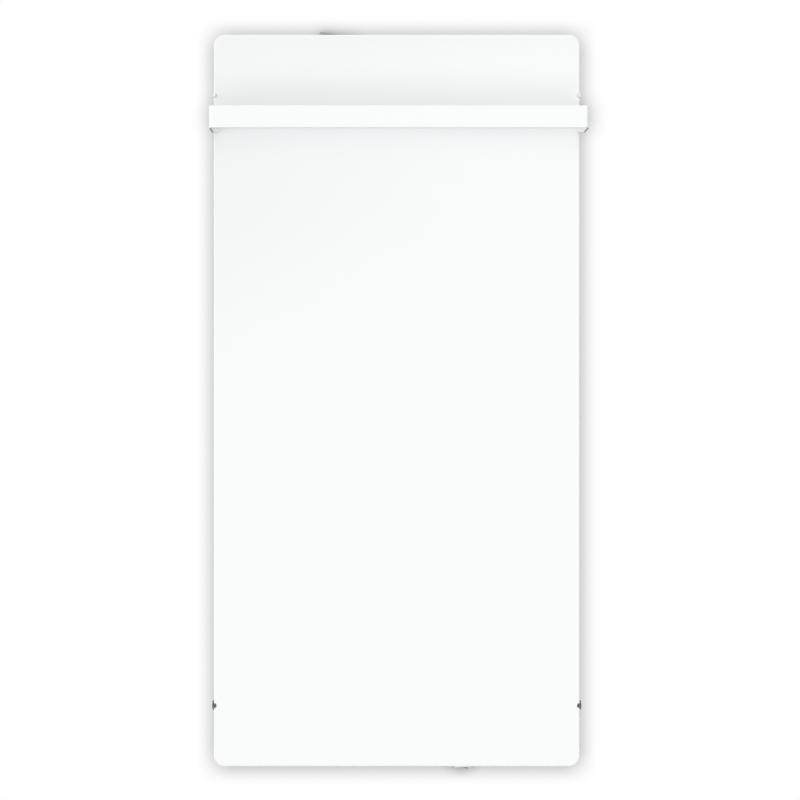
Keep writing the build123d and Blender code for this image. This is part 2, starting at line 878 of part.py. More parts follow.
with BuildPart() as bar_studs:
    for side in SIDES.values():
        stud_place = (side * stud_from_wall, stud_height)
        with BuildSketch(side_plane(panel_width / 2 + stud_past_glass, side)):
            with Locations(stud_place):
                Circle(stud_radius)
        extrude(amount=panel_width / 2 + stud_past_glass - bracket_inner)
        with BuildSketch(side_plane(bracket_inner, side)):
            with Locations(stud_place):
                Circle(stud_head_radius)
        extrude(amount=stud_head_thickness)
    tips = bar_studs.edges().filter_by(GeomType.CIRCLE).sort_by(Axis.X)
    chamfer([tips[0], tips[-1]], stud_tip_bevel)
finish(bar_studs, "bar_studs")

with BuildPart() as bracket_rivets:
    for side in SIDES.values():
        places = [(side * stud_from_wall, z) for z in bracket_rivet_heights]
        add(rivets(side_plane(tray_side + bracket_sheet, side), places, bracket_sheet + tray_sheet))
finish(bracket_rivets, "bracket_rivets")

# Towel bar: one flat strip bent round the panel, with feet in front and hooks behind
bar_half = panel_width / 2 + bar_side_room + bar_sheet
bar_left = bar_side_shift - bar_half
bar_right = bar_side_shift + bar_half
bar_ends = {"left": (-1, bar_left), "right": (1, bar_right)}
foot_back = glass_front + body_gap + foot_pad_thickness
arm_split = foot_back + bar_sheet + foot_root
tongue_end = stud_from_wall - tongue_past_stud
tongue_bottom = bar_bottom + foot_height + tongue_slit
slot_radius = stud_radius + body_gap
bar_inside_bend = bar_bend - bar_sheet

bent_bar = folded_strip(
    Plane.XY.offset(bar_bottom),
    [(bar_left, -arm_split), (bar_left, -bar_front), (bar_right, -bar_front), (bar_right, -arm_split)],
    bar_sheet,
    bar_height,
    bend=bar_inside_bend,
)
foot_strips = [
    folded_strip(
        Plane.XY.offset(bar_bottom),
        [
            (outer, -arm_split),
            (outer, -foot_back),
            (outer - side * (bar_sheet + foot_reach), -foot_back),
        ],
        bar_sheet,
        foot_height,
        Side.RIGHT if side < 0 else Side.LEFT,
        bar_inside_bend,
    )
    for side, outer in bar_ends.values()
]
with BuildPart() as towel_bar:
    add(bent_bar)
    add(foot_strips)
    foot_tips = towel_bar.edges().filter_by(Axis.Y).group_by(Axis.Z)[0].filter_by(
        lambda edge: -edge.center().Y < arm_split - bar_bend and abs(edge.center().X) < panel_width / 2
    )
    fillet(foot_tips, foot_corner)
    for side, outer in bar_ends.values():
        with BuildSketch(Plane.YZ.offset(outer - side * bar_sheet)):
            with Locations((-(arm_split + tongue_end) / 2, (tongue_bottom + bar_top) / 2)):
                Rectangle(arm_split - tongue_end, bar_top - tongue_bottom)
            with Locations((-stud_from_wall, stud_height)):
                Circle(slot_radius, mode=Mode.SUBTRACT)
            with Locations((-stud_from_wall, (stud_height + tongue_bottom) / 2)):
                Rectangle(2 * slot_radius, stud_height - tongue_bottom, mode=Mode.SUBTRACT)
        extrude(amount=side * bar_sheet)
    front_outline = towel_bar.edges().group_by(Axis.Y)[0].filter_by(Axis.X)
    fillet(front_outline, bar_edge_round)
finish(towel_bar, "towel_bar")

for name, (side, outer) in bar_ends.items():
    inner_end = outer - side * (bar_sheet + foot_reach)
    with BuildPart() as foot_pad:
        with BuildSketch(rear_plane(glass_front + body_gap)):
            with Locations((inner_end + side * foot_reach / 2, bar_bottom + foot_height / 2)):
                Rectangle(foot_reach - foot_pad_margin, foot_height - 2 * foot_pad_margin)
        extrude(amount=foot_pad_thickness)
        lower_edges = foot_pad.edges().filter_by(Axis.Y).group_by(Axis.Z)[0]
        fillet(lower_edges.sort_by(outward(side))[0], foot_corner - foot_pad_margin)
    finish(foot_pad, f"foot_pad_{name}")

# Control housing: a moulded box on the back of the tray, open towards the wall, with a
# nose at its lower edge that brings the switch down to the bottom of the glass
def housing_outline(inset=0.0):
    """The outline of the housing, or one that runs inside it at an even distance."""
    with BuildSketch() as outline:
        with Locations(housing_middle):
            Rectangle(housing_width, housing_height)
        with Locations((housing_centre_x, housing_bottom)):
            Rectangle(housing_nose_width, 2 * housing_nose_drop)
        fillet(outline.vertices(), housing_corner)
        if inset:
            offset(amount=-inset)
    return outline.sketch


outer_outline = housing_outline()
cavity_outline = housing_outline(housing_wall)
lip_outline = housing_outline(housing_wall + seat_gap)
lip_inner_outline = housing_outline(housing_wall + seat_gap + cover_lip_width)
boss_inset = housing_wall + boss_radius - boss_into_wall
boss_places = [
    (x, z)
    for x in (housing_left + boss_inset, housing_right - boss_inset)
    for z in (housing_bottom + boss_inset, housing_top - boss_inset)
]
board_x = housing_right - board_from_right - board_width / 2
board_z = housing_top - board_from_top - board_height / 2
board_front = housing_floor - board_peg
board_back = board_front - board_thickness
peg_places = [
    (board_x + sx * (board_width / 2 - board_peg_inset), board_z + sz * (board_height / 2 - board_peg_inset))
    for sx in (-1, 1)
    for sz in (-1, 1)
]

with BuildPart() as control_housing:
    with BuildSketch(rear_plane(housing_rim)):
        add(outer_outline)
    extrude(amount=wall_gap - housing_rim)
    with BuildSketch(rear_plane(housing_rim)):
        add(cavity_outline)
    extrude(amount=housing_floor - housing_rim, mode=Mode.SUBTRACT)
    with BuildSketch(rear_plane(housing_rim)):
        with Locations(*boss_places):
            Circle(boss_radius)
    extrude(amount=wall_gap - housing_rim)
    with BuildSketch(rear_plane(housing_floor)):
        with Locations(*peg_places):
            Circle(board_peg_radius)
    extrude(amount=-board_peg)
    with BuildSketch(rear_plane(housing_rim)):
        with Locations(*boss_places):
            Circle(screw_radius - thread_bite)
    extrude(amount=cover_screw_length, mode=Mode.SUBTRACT)
    with BuildSketch(rear_plane(board_front)):
        with Locations(*peg_places):
            Circle(board_peg_hole)
    extrude(amount=board_peg, mode=Mode.SUBTRACT)
    with BuildSketch(rear_plane(housing_floor)):
        with Locations(*housing_screw_places):
            Circle(screw_radius + fastener_clearance)
        with Locations((grommet_x, grommet_z)):
            Circle(grommet_hole)
    extrude(amount=housing_wall, mode=Mode.SUBTRACT)
    with BuildSketch(Plane.XY.offset(nose_bottom)):
        with Locations((housing_centre_x, -switch_depth)):
            Rectangle(switch_length + 2 * slot_clearance, switch_width + 2 * slot_clearance)
    extrude(amount=housing_wall, mode=Mode.SUBTRACT)
    with BuildSketch(Plane.YZ.offset(housing_left)):
        with Locations((-gland_depth, gland_height)):
            Circle(gland_thread_radius + slot_clearance)
    extrude(amount=housing_wall, mode=Mode.SUBTRACT)
finish(control_housing, "control_housing")

lip_relief_reach = 2 * (housing_wall + seat_gap + cover_lip_width + cover_lip_relief)
with BuildPart() as control_cover:
    with BuildSketch(rear_plane(housing_wall_clearance)):
        add(outer_outline)
    extrude(amount=cover_thickness)
    chamfer(control_cover.edges().group_by(Axis.Y)[-1], cover_edge_bevel)
    with BuildSketch(rear_plane(housing_rim)):
        add(lip_outline)
        add(lip_inner_outline, mode=Mode.SUBTRACT)
        with Locations(*boss_places):
            Circle(boss_radius + seat_gap, mode=Mode.SUBTRACT)
        with Locations((housing_left, gland_height)):
            Rectangle(lip_relief_reach, gland_hex + 2 * cover_lip_relief, mode=Mode.SUBTRACT)
    extrude(amount=cover_lip)
    with BuildSketch(rear_plane(housing_wall_clearance)):
        with Locations(*boss_places):
            Circle(screw_radius + fastener_clearance)
    extrude(amount=cover_thickness, mode=Mode.SUBTRACT)
    with BuildSketch(rear_plane(housing_wall_clearance)):
        with Locations(*boss_places):
            Circle(screw_head_radius + seat_gap)
    extrude(amount=cover_thickness / 2, mode=Mode.SUBTRACT)
finish(control_cover, "control_cover")

with BuildPart() as cover_screws:
    add(
        headed_pins(
            rear_plane(housing_wall_clearance + cover_thickness / 2),
            boss_places,
            screw_radius - thread_bite - fastener_clearance,
            cover_screw_length,
            screw_head_radius,
            cover_screw_head,
        )
    )
finish(cover_screws, "cover_screws")

with BuildPart() as housing_screws:
    add(screws(rear_plane(housing_floor), housing_screw_places, housing_wall + tray_sheet))
finish(housing_screws, "housing_screws")

grommet_back = housing_floor - grommet_flange_thickness
with BuildPart() as lead_grommet:
    with BuildSketch(rear_plane(housing_floor)):
        with Locations((grommet_x, grommet_z)):
            Circle(grommet_hole - fastener_clearance)
    extrude(amount=tray_floor - housing_floor)
    with BuildSketch(rear_plane(grommet_back)):
        with Locations((grommet_x, grommet_z)):
            Circle(grommet_hole + grommet_flange)
    extrude(amount=grommet_flange_thickness)
    with BuildSketch(rear_plane(grommet_back)):
        with Locations((grommet_x, grommet_z)):
            Circle(grommet_hole - grommet_wall)
    extrude(amount=tray_floor - grommet_back, mode=Mode.SUBTRACT)
finish(lead_grommet, "lead_grommet")

# Control board with its parts
board_parts = {
    "relay": {"offset": (-11, 3), "size": (15, 19), "rise": 9.5, "bevel": 0.6},
    "power_module": {"offset": (8, 5), "size": (18, 15), "rise": 9.0, "bevel": 0.8},
    "board_connector": {"offset": (2, -11), "size": (14, 7), "rise": 8.0, "bevel": 0.4},
}
with BuildPart() as control_board:
    with BuildSketch(rear_plane(board_back)):
        with Locations((board_x, board_z)):
            Rectangle(board_width, board_height)
        with Locations(*peg_places):
            Circle(board_peg_hole, mode=Mode.SUBTRACT)
    extrude(amount=board_thickness)
finish(control_board, "control_board")

for name, details in board_parts.items():
    with BuildPart() as component:
        with BuildSketch(rear_plane(board_back)):
            with Locations((board_x + details["offset"][0], board_z + details["offset"][1])):
                Rectangle(*details["size"])
        extrude(amount=-details["rise"])
        chamfer(component.edges().group_by(Axis.Y)[-1], details["bevel"])
    finish(component, name)

with BuildPart() as board_capacitors:
    with BuildSketch(rear_plane(board_back)):
        with Locations(*[(board_x + x, board_z + z) for x, z in capacitor_offsets]):
            Circle(capacitor_radius)
    extrude(amount=-capacitor_height)
    chamfer(board_capacitors.edges().group_by(Axis.Y)[-1], capacitor_bevel)
finish(board_capacitors, "board_capacitors")

# Terminal block beside the cord inlet, with a wire entry and a screw for each pole
terminal_x = housing_left + terminal_from_left
terminal_z = gland_height - terminal_below_gland
terminal_places = [(terminal_x + step * terminal_pitch, terminal_z) for step in (-1, 0, 1)]
terminal_back = housing_floor - terminal_depth
terminal_bottom = terminal_z - terminal_height / 2
wire_depth = housing_floor - wire_entry_depth
screw_seat = terminal_back + terminal_well - terminal_screw_length
with BuildPart() as terminal_block:
    with BuildSketch(rear_plane(housing_floor)):
        with Locations(*terminal_places):
            Rectangle(terminal_pitch - terminal_gap, terminal_height)
        with Locations((terminal_x, terminal_z)):
            Rectangle(3 * terminal_pitch - 2 * terminal_gap, terminal_waist)
    extrude(amount=-terminal_depth)
    chamfer(terminal_block.edges().group_by(Axis.Y)[-1], terminal_bevel)
    with BuildSketch(rear_plane(terminal_back)):
        with Locations(*terminal_places):
            Circle(terminal_well_radius)
    extrude(amount=terminal_well, mode=Mode.SUBTRACT)
    with BuildSketch(Plane.XY.offset(terminal_bottom)):
        with Locations(*[(x, -wire_depth) for x, z in terminal_places]):
            Circle(wire_entry_radius)
    extrude(amount=terminal_height, mode=Mode.SUBTRACT)
finish(terminal_block, "terminal_block")

with BuildPart() as terminal_screws:
    with BuildSketch(rear_plane(screw_seat)):
        with Locations(*terminal_places):
            Circle(terminal_well_radius - slot_clearance)
    extrude(amount=terminal_screw_length)
    with BuildSketch(rear_plane(screw_seat)):
        with Locations(*terminal_places):
            Rectangle(2 * terminal_well_radius, terminal_slot_width)
    extrude(amount=terminal_slot_depth, mode=Mode.SUBTRACT)
finish(terminal_screws, "terminal_screws")

# Cord inlet: a screwed gland with its seal, dome nut and locknut
gland_plane = Plane(origin=(housing_left, -gland_depth, gland_height), x_dir=(0, 1, 0), z_dir=(-1, 0, 0))
gland_inner_end = -housing_wall - gland_locknut_thickness - gland_thread_past_nut
gland_outer_end = gland_collar + gland_neck
gland_bore_radius = cord_hole_radius + gland_bore_room
gland_nut_start = gland_collar + gland_nut_gap
hex_inradius = gland_hex / 2
with BuildPart() as cord_gland:
    with BuildSketch(gland_plane):
        RegularPolygon(hex_inradius, 6, major_radius=False, rotation=30)
    extrude(amount=gland_collar)
    with BuildSketch(gland_plane.offset(gland_inner_end)):
        Circle(gland_thread_radius)
    extrude(amount=gland_outer_end - gland_inner_end)
    with BuildSketch(gland_plane.offset(gland_inner_end)):
        Circle(gland_bore_radius)
    extrude(amount=gland_outer_end - gland_inner_end, mode=Mode.SUBTRACT)
finish(cord_gland, "cord_gland")

with BuildPart() as gland_locknut:
    with BuildSketch(gland_plane.offset(-housing_wall - gland_locknut_thickness)):
        RegularPolygon(hex_inradius, 6, major_radius=False, rotation=30)
        Circle(gland_thread_radius + fastener_clearance, mode=Mode.SUBTRACT)
    extrude(amount=gland_locknut_thickness)
finish(gland_locknut, "gland_locknut")

with BuildPart() as gland_seal:
    with BuildSketch(gland_plane.offset(gland_outer_end)):
        Circle(gland_thread_radius)
        Circle(cord_hole_radius, mode=Mode.SUBTRACT)
    extrude(amount=gland_seal_length)
finish(gland_seal, "gland_seal")

with BuildPart() as gland_nut:
    with BuildSketch(gland_plane.offset(gland_nut_start)):
        RegularPolygon(hex_inradius, 6, major_radius=False, rotation=30)
    extrude(amount=gland_nut_hex_length)
    with BuildSketch(gland_plane.offset(gland_nut_start)):
        Circle(hex_inradius)
    extrude(amount=gland_nut_length)
    chamfer(gland_nut.edges().group_by(Axis.X)[0], gland_nut_bevel)
    with BuildSketch(gland_plane.offset(gland_nut_start)):
        Circle(gland_thread_radius + fastener_clearance)
    extrude(amount=gland_outer_end + gland_seal_length - gland_nut_start, mode=Mode.SUBTRACT)
    with BuildSketch(gland_plane.offset(gland_nut_start)):
        Circle(gland_bore_radius)
    extrude(amount=gland_nut_length, mode=Mode.SUBTRACT)
finish(gland_nut, "gland_nut")

# Rocker switch in the underside of the housing
bezel_bottom = nose_bottom - bezel_thickness
switch_place = (housing_centre_x, -switch_depth)
blade_places = [(housing_centre_x + step * blade_spacing, -switch_depth) for step in (-1, 0, 1)]
opening_half_length = switch_length / 2 - switch_wall
opening_half_width = switch_width / 2 - switch_side_wall
rocker_half_width = opening_half_width - body_gap
pivot_height = bezel_bottom + switch_pivot_rise
trunnion_half = opening_half_width + trunnion_seat
trunnion_socket_half = trunnion_half + seat_gap
with BuildPart() as switch_frame:
    with BuildSketch(Plane.XY.offset(bezel_bottom)):
        with Locations(switch_place):
            RectangleRounded(switch_length + 2 * bezel_lip, switch_width + 2 * bezel_lip, bezel_corner)
    extrude(amount=bezel_thickness)
    chamfer(switch_frame.edges().group_by(Axis.Z)[0], bezel_bevel)
    with BuildSketch(Plane.XY.offset(nose_bottom)):
        with Locations(switch_place):
            Rectangle(switch_length, switch_width)
    extrude(amount=switch_height)
    with BuildSketch(Plane.XY.offset(bezel_bottom)):
        with Locations(switch_place):
            Rectangle(2 * opening_half_length, 2 * opening_half_width)
    extrude(amount=bezel_thickness + switch_height - switch_floor, mode=Mode.SUBTRACT)
    with BuildSketch(rear_plane(switch_depth - trunnion_socket_half)):
        with Locations((housing_centre_x, pivot_height)):
            Circle(trunnion_radius + running_clearance)
    extrude(amount=2 * trunnion_socket_half, mode=Mode.SUBTRACT)
finish(switch_frame, "switch_frame")

with BuildPart() as switch_terminals:
    with BuildSketch(Plane.XY.offset(nose_bottom + switch_height)):
        with Locations(*blade_places):
            Rectangle(blade_sheet, blade_width)
    extrude(amount=blade_length)
finish(switch_terminals, "switch_terminals")

tilt = radians(rocker_tilt)
rocker_plane = Plane(
    origin=(housing_centre_x, -switch_depth, pivot_height),
    x_dir=(cos(tilt), 0, -sin(tilt)),
    z_dir=(0, -1, 0),
)
with BuildPart() as rocker:
    with BuildSketch(rocker_plane):
        with BuildLine():
            Polyline(
                (0, rocker_dish - rocker_face_depth),
                (rocker_half_length, -rocker_face_depth),
                (rocker_half_length, rocker_skirt - rocker_face_depth),
                (rocker_root, rocker_root_rise),
                (0, rocker_root_rise),
            )
            mirror(about=Plane.YZ)
        make_face()
    extrude(amount=rocker_half_width, both=True)
    face_edges = rocker.edges().filter_by(Axis.Y).group_by(Axis.Z)
    fillet(face_edges[0] + face_edges[1], rocker_edge_round)
    with BuildSketch(rocker_plane):
        Circle(trunnion_radius)
    extrude(amount=trunnion_half, both=True)
finish(rocker, "rocker")

# Overheat cut-outs, pressed on the heat spreader and wired in series with the live lead
lead_depth = insulation_back - lead_radius - lead_gap
tab_back = lead_depth + lead_radius + lead_contact
cap_back = spreader_back - cutout_cap
with BuildPart() as overheat_cutouts:
    with BuildSketch(rear_plane(cap_back)):
        with Locations(*cutout_places):
            Circle(cutout_radius)
    extrude(amount=cutout_cap)
    with BuildSketch(rear_plane(tab_back + tab_sheet)):
        with Locations(*cutout_places):
            Circle(cutout_radius - cutout_step)
    extrude(amount=cap_back - tab_back - tab_sheet)
    with BuildSketch(rear_plane(tab_back)):
        with Locations(*cutout_places):
            Rectangle(tab_width, 2 * tab_reach)
    extrude(amount=tab_sheet)
finish(overheat_cutouts, "overheat_cutouts")

# Leads inside the tray and housing: each route starts in the housing
tab_grip = tab_reach - tab_overlap
tap_depth = bus_bar_back - lead_contact
board_lead_depth = board_back - lead_radius - running_clearance
board_lead_x = board_x - board_width / 2 + tab_overlap
terminal_top = terminal_z + terminal_height / 2
earth_terminal_x = terminal_x + terminal_pitch
neutral_x = grommet_x - lead_spread
earth_x = grommet_x + lead_spread
earth_lug_end = earth_place[0] - earth_lug_reach
lead_routes = {
    "live_lead_lower": [
        (board_lead_x, -board_lead_depth, grommet_z),
        (cutout_x, -board_lead_depth, grommet_z),
        (cutout_x, -lead_depth, grommet_z),
        (cutout_x, -lead_depth, cutout_heights[0] - tab_grip),
    ],
    "live_lead_tap": [
        (cutout_x, -lead_depth, cutout_heights[1] + tab_grip),
        (cutout_x, -lead_depth, live_tap_height),
        (bus_bar_x, -lead_depth, live_tap_height),
        (bus_bar_x, -tap_depth, live_tap_height),
    ],
    "neutral_lead": [
        (terminal_x, -wire_depth, terminal_top - tab_overlap),
        (neutral_x, -wire_depth, neutral_tap_height),
        (neutral_x, -lead_depth, neutral_tap_height),
        (-bus_bar_x, -lead_depth, neutral_tap_height),
        (-bus_bar_x, -tap_depth, neutral_tap_height),
    ],
    "earth_lead": [
        (earth_terminal_x, -wire_depth, terminal_top - tab_overlap),
        (earth_terminal_x, -wire_depth, terminal_top + tab_overlap),
        (earth_x, -wire_depth, grommet_z),
        (earth_x, -lead_depth, grommet_z),
        (earth_x, -lead_depth, earth_place[1]),
        (earth_lug_end + earth_lug_barrel, -lead_depth, earth_place[1]),
    ],
}
for name, route in lead_routes.items():
    with BuildPart() as lead:
        add(tube_along(route, lead_radius, lead_bend))
        if name == "earth_lead":
            with BuildSketch(rear_plane(lead_depth - earth_lug_sheet / 2)):
                with Locations(earth_place):
                    Circle(earth_lug_radius)
                with Locations((earth_lug_end, earth_place[1])):
                    Circle(lead_radius)
                make_hull()
                with Locations(earth_place):
                    Circle(earth_stud_radius + fastener_clearance, mode=Mode.SUBTRACT)
            extrude(amount=earth_lug_sheet)
    finish(lead, name)

with BuildPart() as live_lead_upper:
    with BuildSketch(Plane.XY.offset(cutout_heights[0] + tab_grip)):
        with Locations((cutout_x, -lead_depth)):
            Circle(lead_radius)
    extrude(amount=cutout_heights[1] - cutout_heights[0] - 2 * tab_grip)
finish(live_lead_upper, "live_lead_upper")

# Temperature probe, a capsule on the spreader with its own thin lead to the board
probe_x, probe_z = probe_place
probe_depth = spreader_back - probe_radius - lead_contact
probe_bottom = probe_z - probe_length / 2
probe_lead_z = grommet_z + lead_step
probe_lead_route = [
    (probe_x, -probe_depth, probe_bottom + tab_overlap),
    (probe_x, -probe_depth, probe_bottom - probe_lead_drop),
    (probe_x, -lead_depth, probe_bottom - probe_lead_drop),
    (probe_x, -lead_depth, probe_lead_z),
    (neutral_x, -lead_depth, probe_lead_z),
    (neutral_x, -board_lead_depth, probe_lead_z),
    (board_lead_x, -board_lead_depth, probe_lead_z),
]
with BuildPart() as temperature_probe:
    with BuildSketch(Plane.XY.offset(probe_bottom)):
        with Locations((probe_x, -probe_depth)):
            Circle(probe_radius)
    extrude(amount=probe_length)
    add(tube_along(probe_lead_route, probe_lead_radius, probe_lead_bend))
finish(temperature_probe, "temperature_probe")

# Earth stud welded in the tray: its collar, the lead's lug and the nut lie on each other
collar_front = lead_depth - earth_lug_sheet / 2 - lead_contact
nut_back = lead_depth + earth_lug_sheet / 2 + lead_contact
with BuildPart() as earth_stud:
    with BuildSketch(rear_plane(tray_floor)):
        with Locations(earth_place):
            Circle(earth_collar_radius)
    extrude(amount=collar_front - tray_floor)
    with BuildSketch(rear_plane(tray_floor)):
        with Locations(earth_place):
            Circle(earth_stud_radius)
    extrude(amount=earth_stud_length)
finish(earth_stud, "earth_stud")

with BuildPart() as earth_nut:
    with BuildSketch(rear_plane(nut_back)):
        with Locations(earth_place):
            RegularPolygon(earth_nut_flats / 2, 6, major_radius=False)
            Circle(earth_stud_radius + fastener_clearance, mode=Mode.SUBTRACT)
    extrude(amount=earth_nut_thickness)
finish(earth_nut, "earth_nut")
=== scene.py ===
import math
from functools import partial

import bmesh
import bpy
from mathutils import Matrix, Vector


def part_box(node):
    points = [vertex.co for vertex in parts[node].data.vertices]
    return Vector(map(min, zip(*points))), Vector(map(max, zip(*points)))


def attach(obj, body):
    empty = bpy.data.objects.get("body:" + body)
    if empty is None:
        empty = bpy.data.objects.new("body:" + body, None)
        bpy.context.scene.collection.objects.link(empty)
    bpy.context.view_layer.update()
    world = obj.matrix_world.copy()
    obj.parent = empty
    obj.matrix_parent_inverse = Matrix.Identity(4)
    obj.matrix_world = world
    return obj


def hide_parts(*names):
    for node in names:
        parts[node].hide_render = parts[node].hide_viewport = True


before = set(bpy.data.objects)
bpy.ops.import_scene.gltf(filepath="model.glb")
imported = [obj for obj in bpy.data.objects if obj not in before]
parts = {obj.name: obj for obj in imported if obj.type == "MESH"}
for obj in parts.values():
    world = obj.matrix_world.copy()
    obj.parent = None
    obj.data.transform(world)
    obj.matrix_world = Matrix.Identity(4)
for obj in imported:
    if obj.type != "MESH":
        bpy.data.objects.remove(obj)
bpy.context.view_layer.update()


# The camera
# A long lens looks straight at the wall from a little left of the radiator's centre, and
# the frame is shifted back to it.
MM = 0.001
camera_distance = 3.050
camera_left = -51.4 * MM
camera_up = 3.4 * MM
sensor_width = 36.0
lens_length = 100.43
shift_across = 0.05105
shift_upright = -0.00234
sight_limit = 50.0

glass_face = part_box("front_glass")[0].y
camera_data = bpy.data.cameras.new("camera")
camera_data.sensor_width = sensor_width
camera_data.lens = lens_length
camera_data.shift_x = shift_across
camera_data.shift_y = shift_upright
camera_data.clip_end = sight_limit
camera = bpy.data.objects.new("camera", camera_data)
camera.location = (camera_left, glass_face - camera_distance, camera_up)
camera.rotation_euler = (math.radians(90), 0, 0)
bpy.context.scene.collection.objects.link(camera)
bpy.context.scene.camera = camera
bpy.context.scene.view_settings.view_transform = "Standard"


# The wall and the floor it is shown against
# A plain white wall a hair behind the wall frame, with a painted soft shadow shaped as a broad
# light close to the camera would throw it, and a pale matt floor below. Both are seen from the
# room side only, so that they never hide the back or underside, and leave the object's light alone.
wall_behind = 0.6 * MM
touching = 30 * MM
floor_level = -1.20
room_half_width = 4.0
shadow_blur = 28.2 * MM
shadow_depth = 0.75
shadow_shift = (0.7 * MM, -1.0 * MM)
shadow_inset = 1.2 * MM
contact_reach = 20 * MM
contact_samples = 24
darkest_wall = 0.12
floor_white = (0.9, 0.9, 0.895, 1.0)
floor_grains_per_metre = 420.0
floor_grain_strength = 0.05
floor_grain_depth = 0.2 * MM
floor_lift = 0.085


def add_node(tree, kind, links=None, **values):
    """A node with its named values set, and links into its inputs from other outputs."""
    node = tree.nodes.new(kind)
    for key, value in values.items():
        setattr(node, key, value)
    for socket, source in (links or {}).items():
        if hasattr(source, "is_output"):
            tree.links.new(source, node.inputs[socket])
        else:
            node.inputs[socket].default_value = source
    return node


def maths(tree, operation, first, second=0.5, third=0.5, clamp=False):
    """One arithmetic step on outputs or plain numbers."""
    node = add_node(tree, "ShaderNodeMath", {0: first, 1: second, 2: third}, operation=operation)
    node.use_clamp = clamp
    return node.outputs[0]


def remap(tree, value, low, high, start=0.0, end=1.0):
    """A value's place between two bounds, eased in and out and held at both ends."""
    sockets = {"Value": value, "From Min": low, "From Max": high, "To Min": start, "To Max": end}
    node = add_node(tree, "ShaderNodeMapRange", sockets, interpolation_type="SMOOTHSTEP")
    return node.outputs["Result"]


def axes_of(tree, output):
    """The X, Y and Z of one output of the texture coordinates, such as Object or Normal."""
    vector = add_node(tree, "ShaderNodeTexCoord").outputs[output]
    return add_node(tree, "ShaderNodeSeparateXYZ", {"Vector": vector}).outputs


def stage_plane(name, corners):
    """A flat stage face whose corners run anticlockwise as seen from its lit side."""
    sheet = bpy.data.meshes.new(name)
    sheet.from_pydata(corners, [], [(0, 1, 2, 3)])
    plane = bpy.data.objects.new(name, sheet)
    bpy.context.scene.collection.objects.link(plane)
    return plane


def stage_paint(name, paint):
    """Paint for the stage, seen from its lit side alone by the camera and in reflections.

    A face that all but touches it doesn't mirror it, so the back can be seen in plain light.
    """
    finish = bpy.data.materials.new(name)
    finish.use_nodes = True
    tree = finish.node_tree
    tree.nodes.clear()
    path = add_node(tree, "ShaderNodeLightPath")
    away = maths(tree, "GREATER_THAN", path.outputs["Ray Length"], touching)
    mirrored = maths(tree, "MULTIPLY", path.outputs["Is Glossy Ray"], away)
    seen = maths(tree, "MAXIMUM", path.outputs["Is Camera Ray"], mirrored)
    side = add_node(tree, "ShaderNodeNewGeometry")
    shown = maths(tree, "SUBTRACT", seen, side.outputs["Backfacing"], clamp=True)
    clear = add_node(tree, "ShaderNodeBsdfTransparent")
    mix = add_node(tree, "ShaderNodeMixShader", {0: shown, 1: clear.outputs[0], 2: paint(tree)})
    add_node(tree, "ShaderNodeOutputMaterial", {"Surface": mix.outputs[0]})
    return finish


def thrown(name):
    """The sides and ends of a piece's shadow on the wall: left, right, bottom and top."""
    low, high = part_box(name)
    growth = (wall_behind - camera.location.y) / (low.y - camera.location.y)
    shift_x, shift_z = shadow_shift
    sides = [camera_left + (side - camera_left) * growth + shift_x for side in (low.x, high.x)]
    ends = [camera_up + (end - camera_up) * growth + shift_z for end in (low.z, high.z)]
    return sides + ends


def within(tree, value, low, high):
    """One well between two bounds and nought well outside them, blurred at both."""
    first = low + shadow_inset
    last = high - shadow_inset
    past_first = remap(tree, value, first - shadow_blur, first + shadow_blur)
    past_last = remap(tree, value, last - shadow_blur, last + shadow_blur)
    return maths(tree, "SUBTRACT", past_first, past_last)


def wall_paint(tree):
    """White, with a painted shadow of the pane and towel bar, and painted shade near what touches it.
    """
    place = axes_of(tree, "Object")
    pane_left, pane_right, pane_bottom, pane_top = thrown("front_glass")
    bar_left, bar_right, bar_bottom, bar_top = thrown("towel_bar")
    # Painted shadow: the pane's and the bar's outlines on the wall, blurred and darkened.
    pane_across = within(tree, place["X"], pane_left, pane_right)
    pane_upright = within(tree, place["Z"], pane_bottom, pane_top)
    bar_across = within(tree, place["X"], bar_left, bar_right)
    bar_upright = within(tree, place["Z"], bar_bottom, bar_top)
    bar_beyond = maths(tree, "SUBTRACT", bar_across, pane_across)
    pane_shade = maths(tree, "MULTIPLY", pane_across, pane_upright)
    bar_shade = maths(tree, "MULTIPLY", bar_beyond, bar_upright)
    shade = maths(tree, "MULTIPLY", maths(tree, "ADD", pane_shade, bar_shade), shadow_depth)
    openness = add_node(
        tree, "ShaderNodeAmbientOcclusion", {"Distance": contact_reach}, samples=contact_samples
    )
    unshaded = maths(tree, "SUBTRACT", 1.0, shade)
    lit = maths(tree, "MULTIPLY", unshaded, openness.outputs["AO"])
    light = maths(tree, "MAXIMUM", lit, darkest_wall)
    return add_node(tree, "ShaderNodeEmission", {"Strength": light}).outputs[0]


def floor_paint(tree):
    """Pale matt paint with a fine roller grain, which keeps the radiator's soft shadow."""
    where = add_node(tree, "ShaderNodeTexCoord").outputs["Object"]
    grain = add_node(tree, "ShaderNodeTexNoise", {"Vector": where, "Scale": floor_grains_per_metre})
    relief = {
        "Height": grain.outputs["Fac"],
        "Strength": floor_grain_strength,
        "Distance": floor_grain_depth,
    }
    normal = add_node(tree, "ShaderNodeBump", relief).outputs["Normal"]
    matt = add_node(tree, "ShaderNodeBsdfDiffuse", {"Color": floor_white, "Normal": normal})
    glow = add_node(tree, "ShaderNodeEmission", {"Strength": floor_lift})
    both = add_node(tree, "ShaderNodeAddShader", {0: matt.outputs[0], 1: glow.outputs[0]})
    return both.outputs[0]


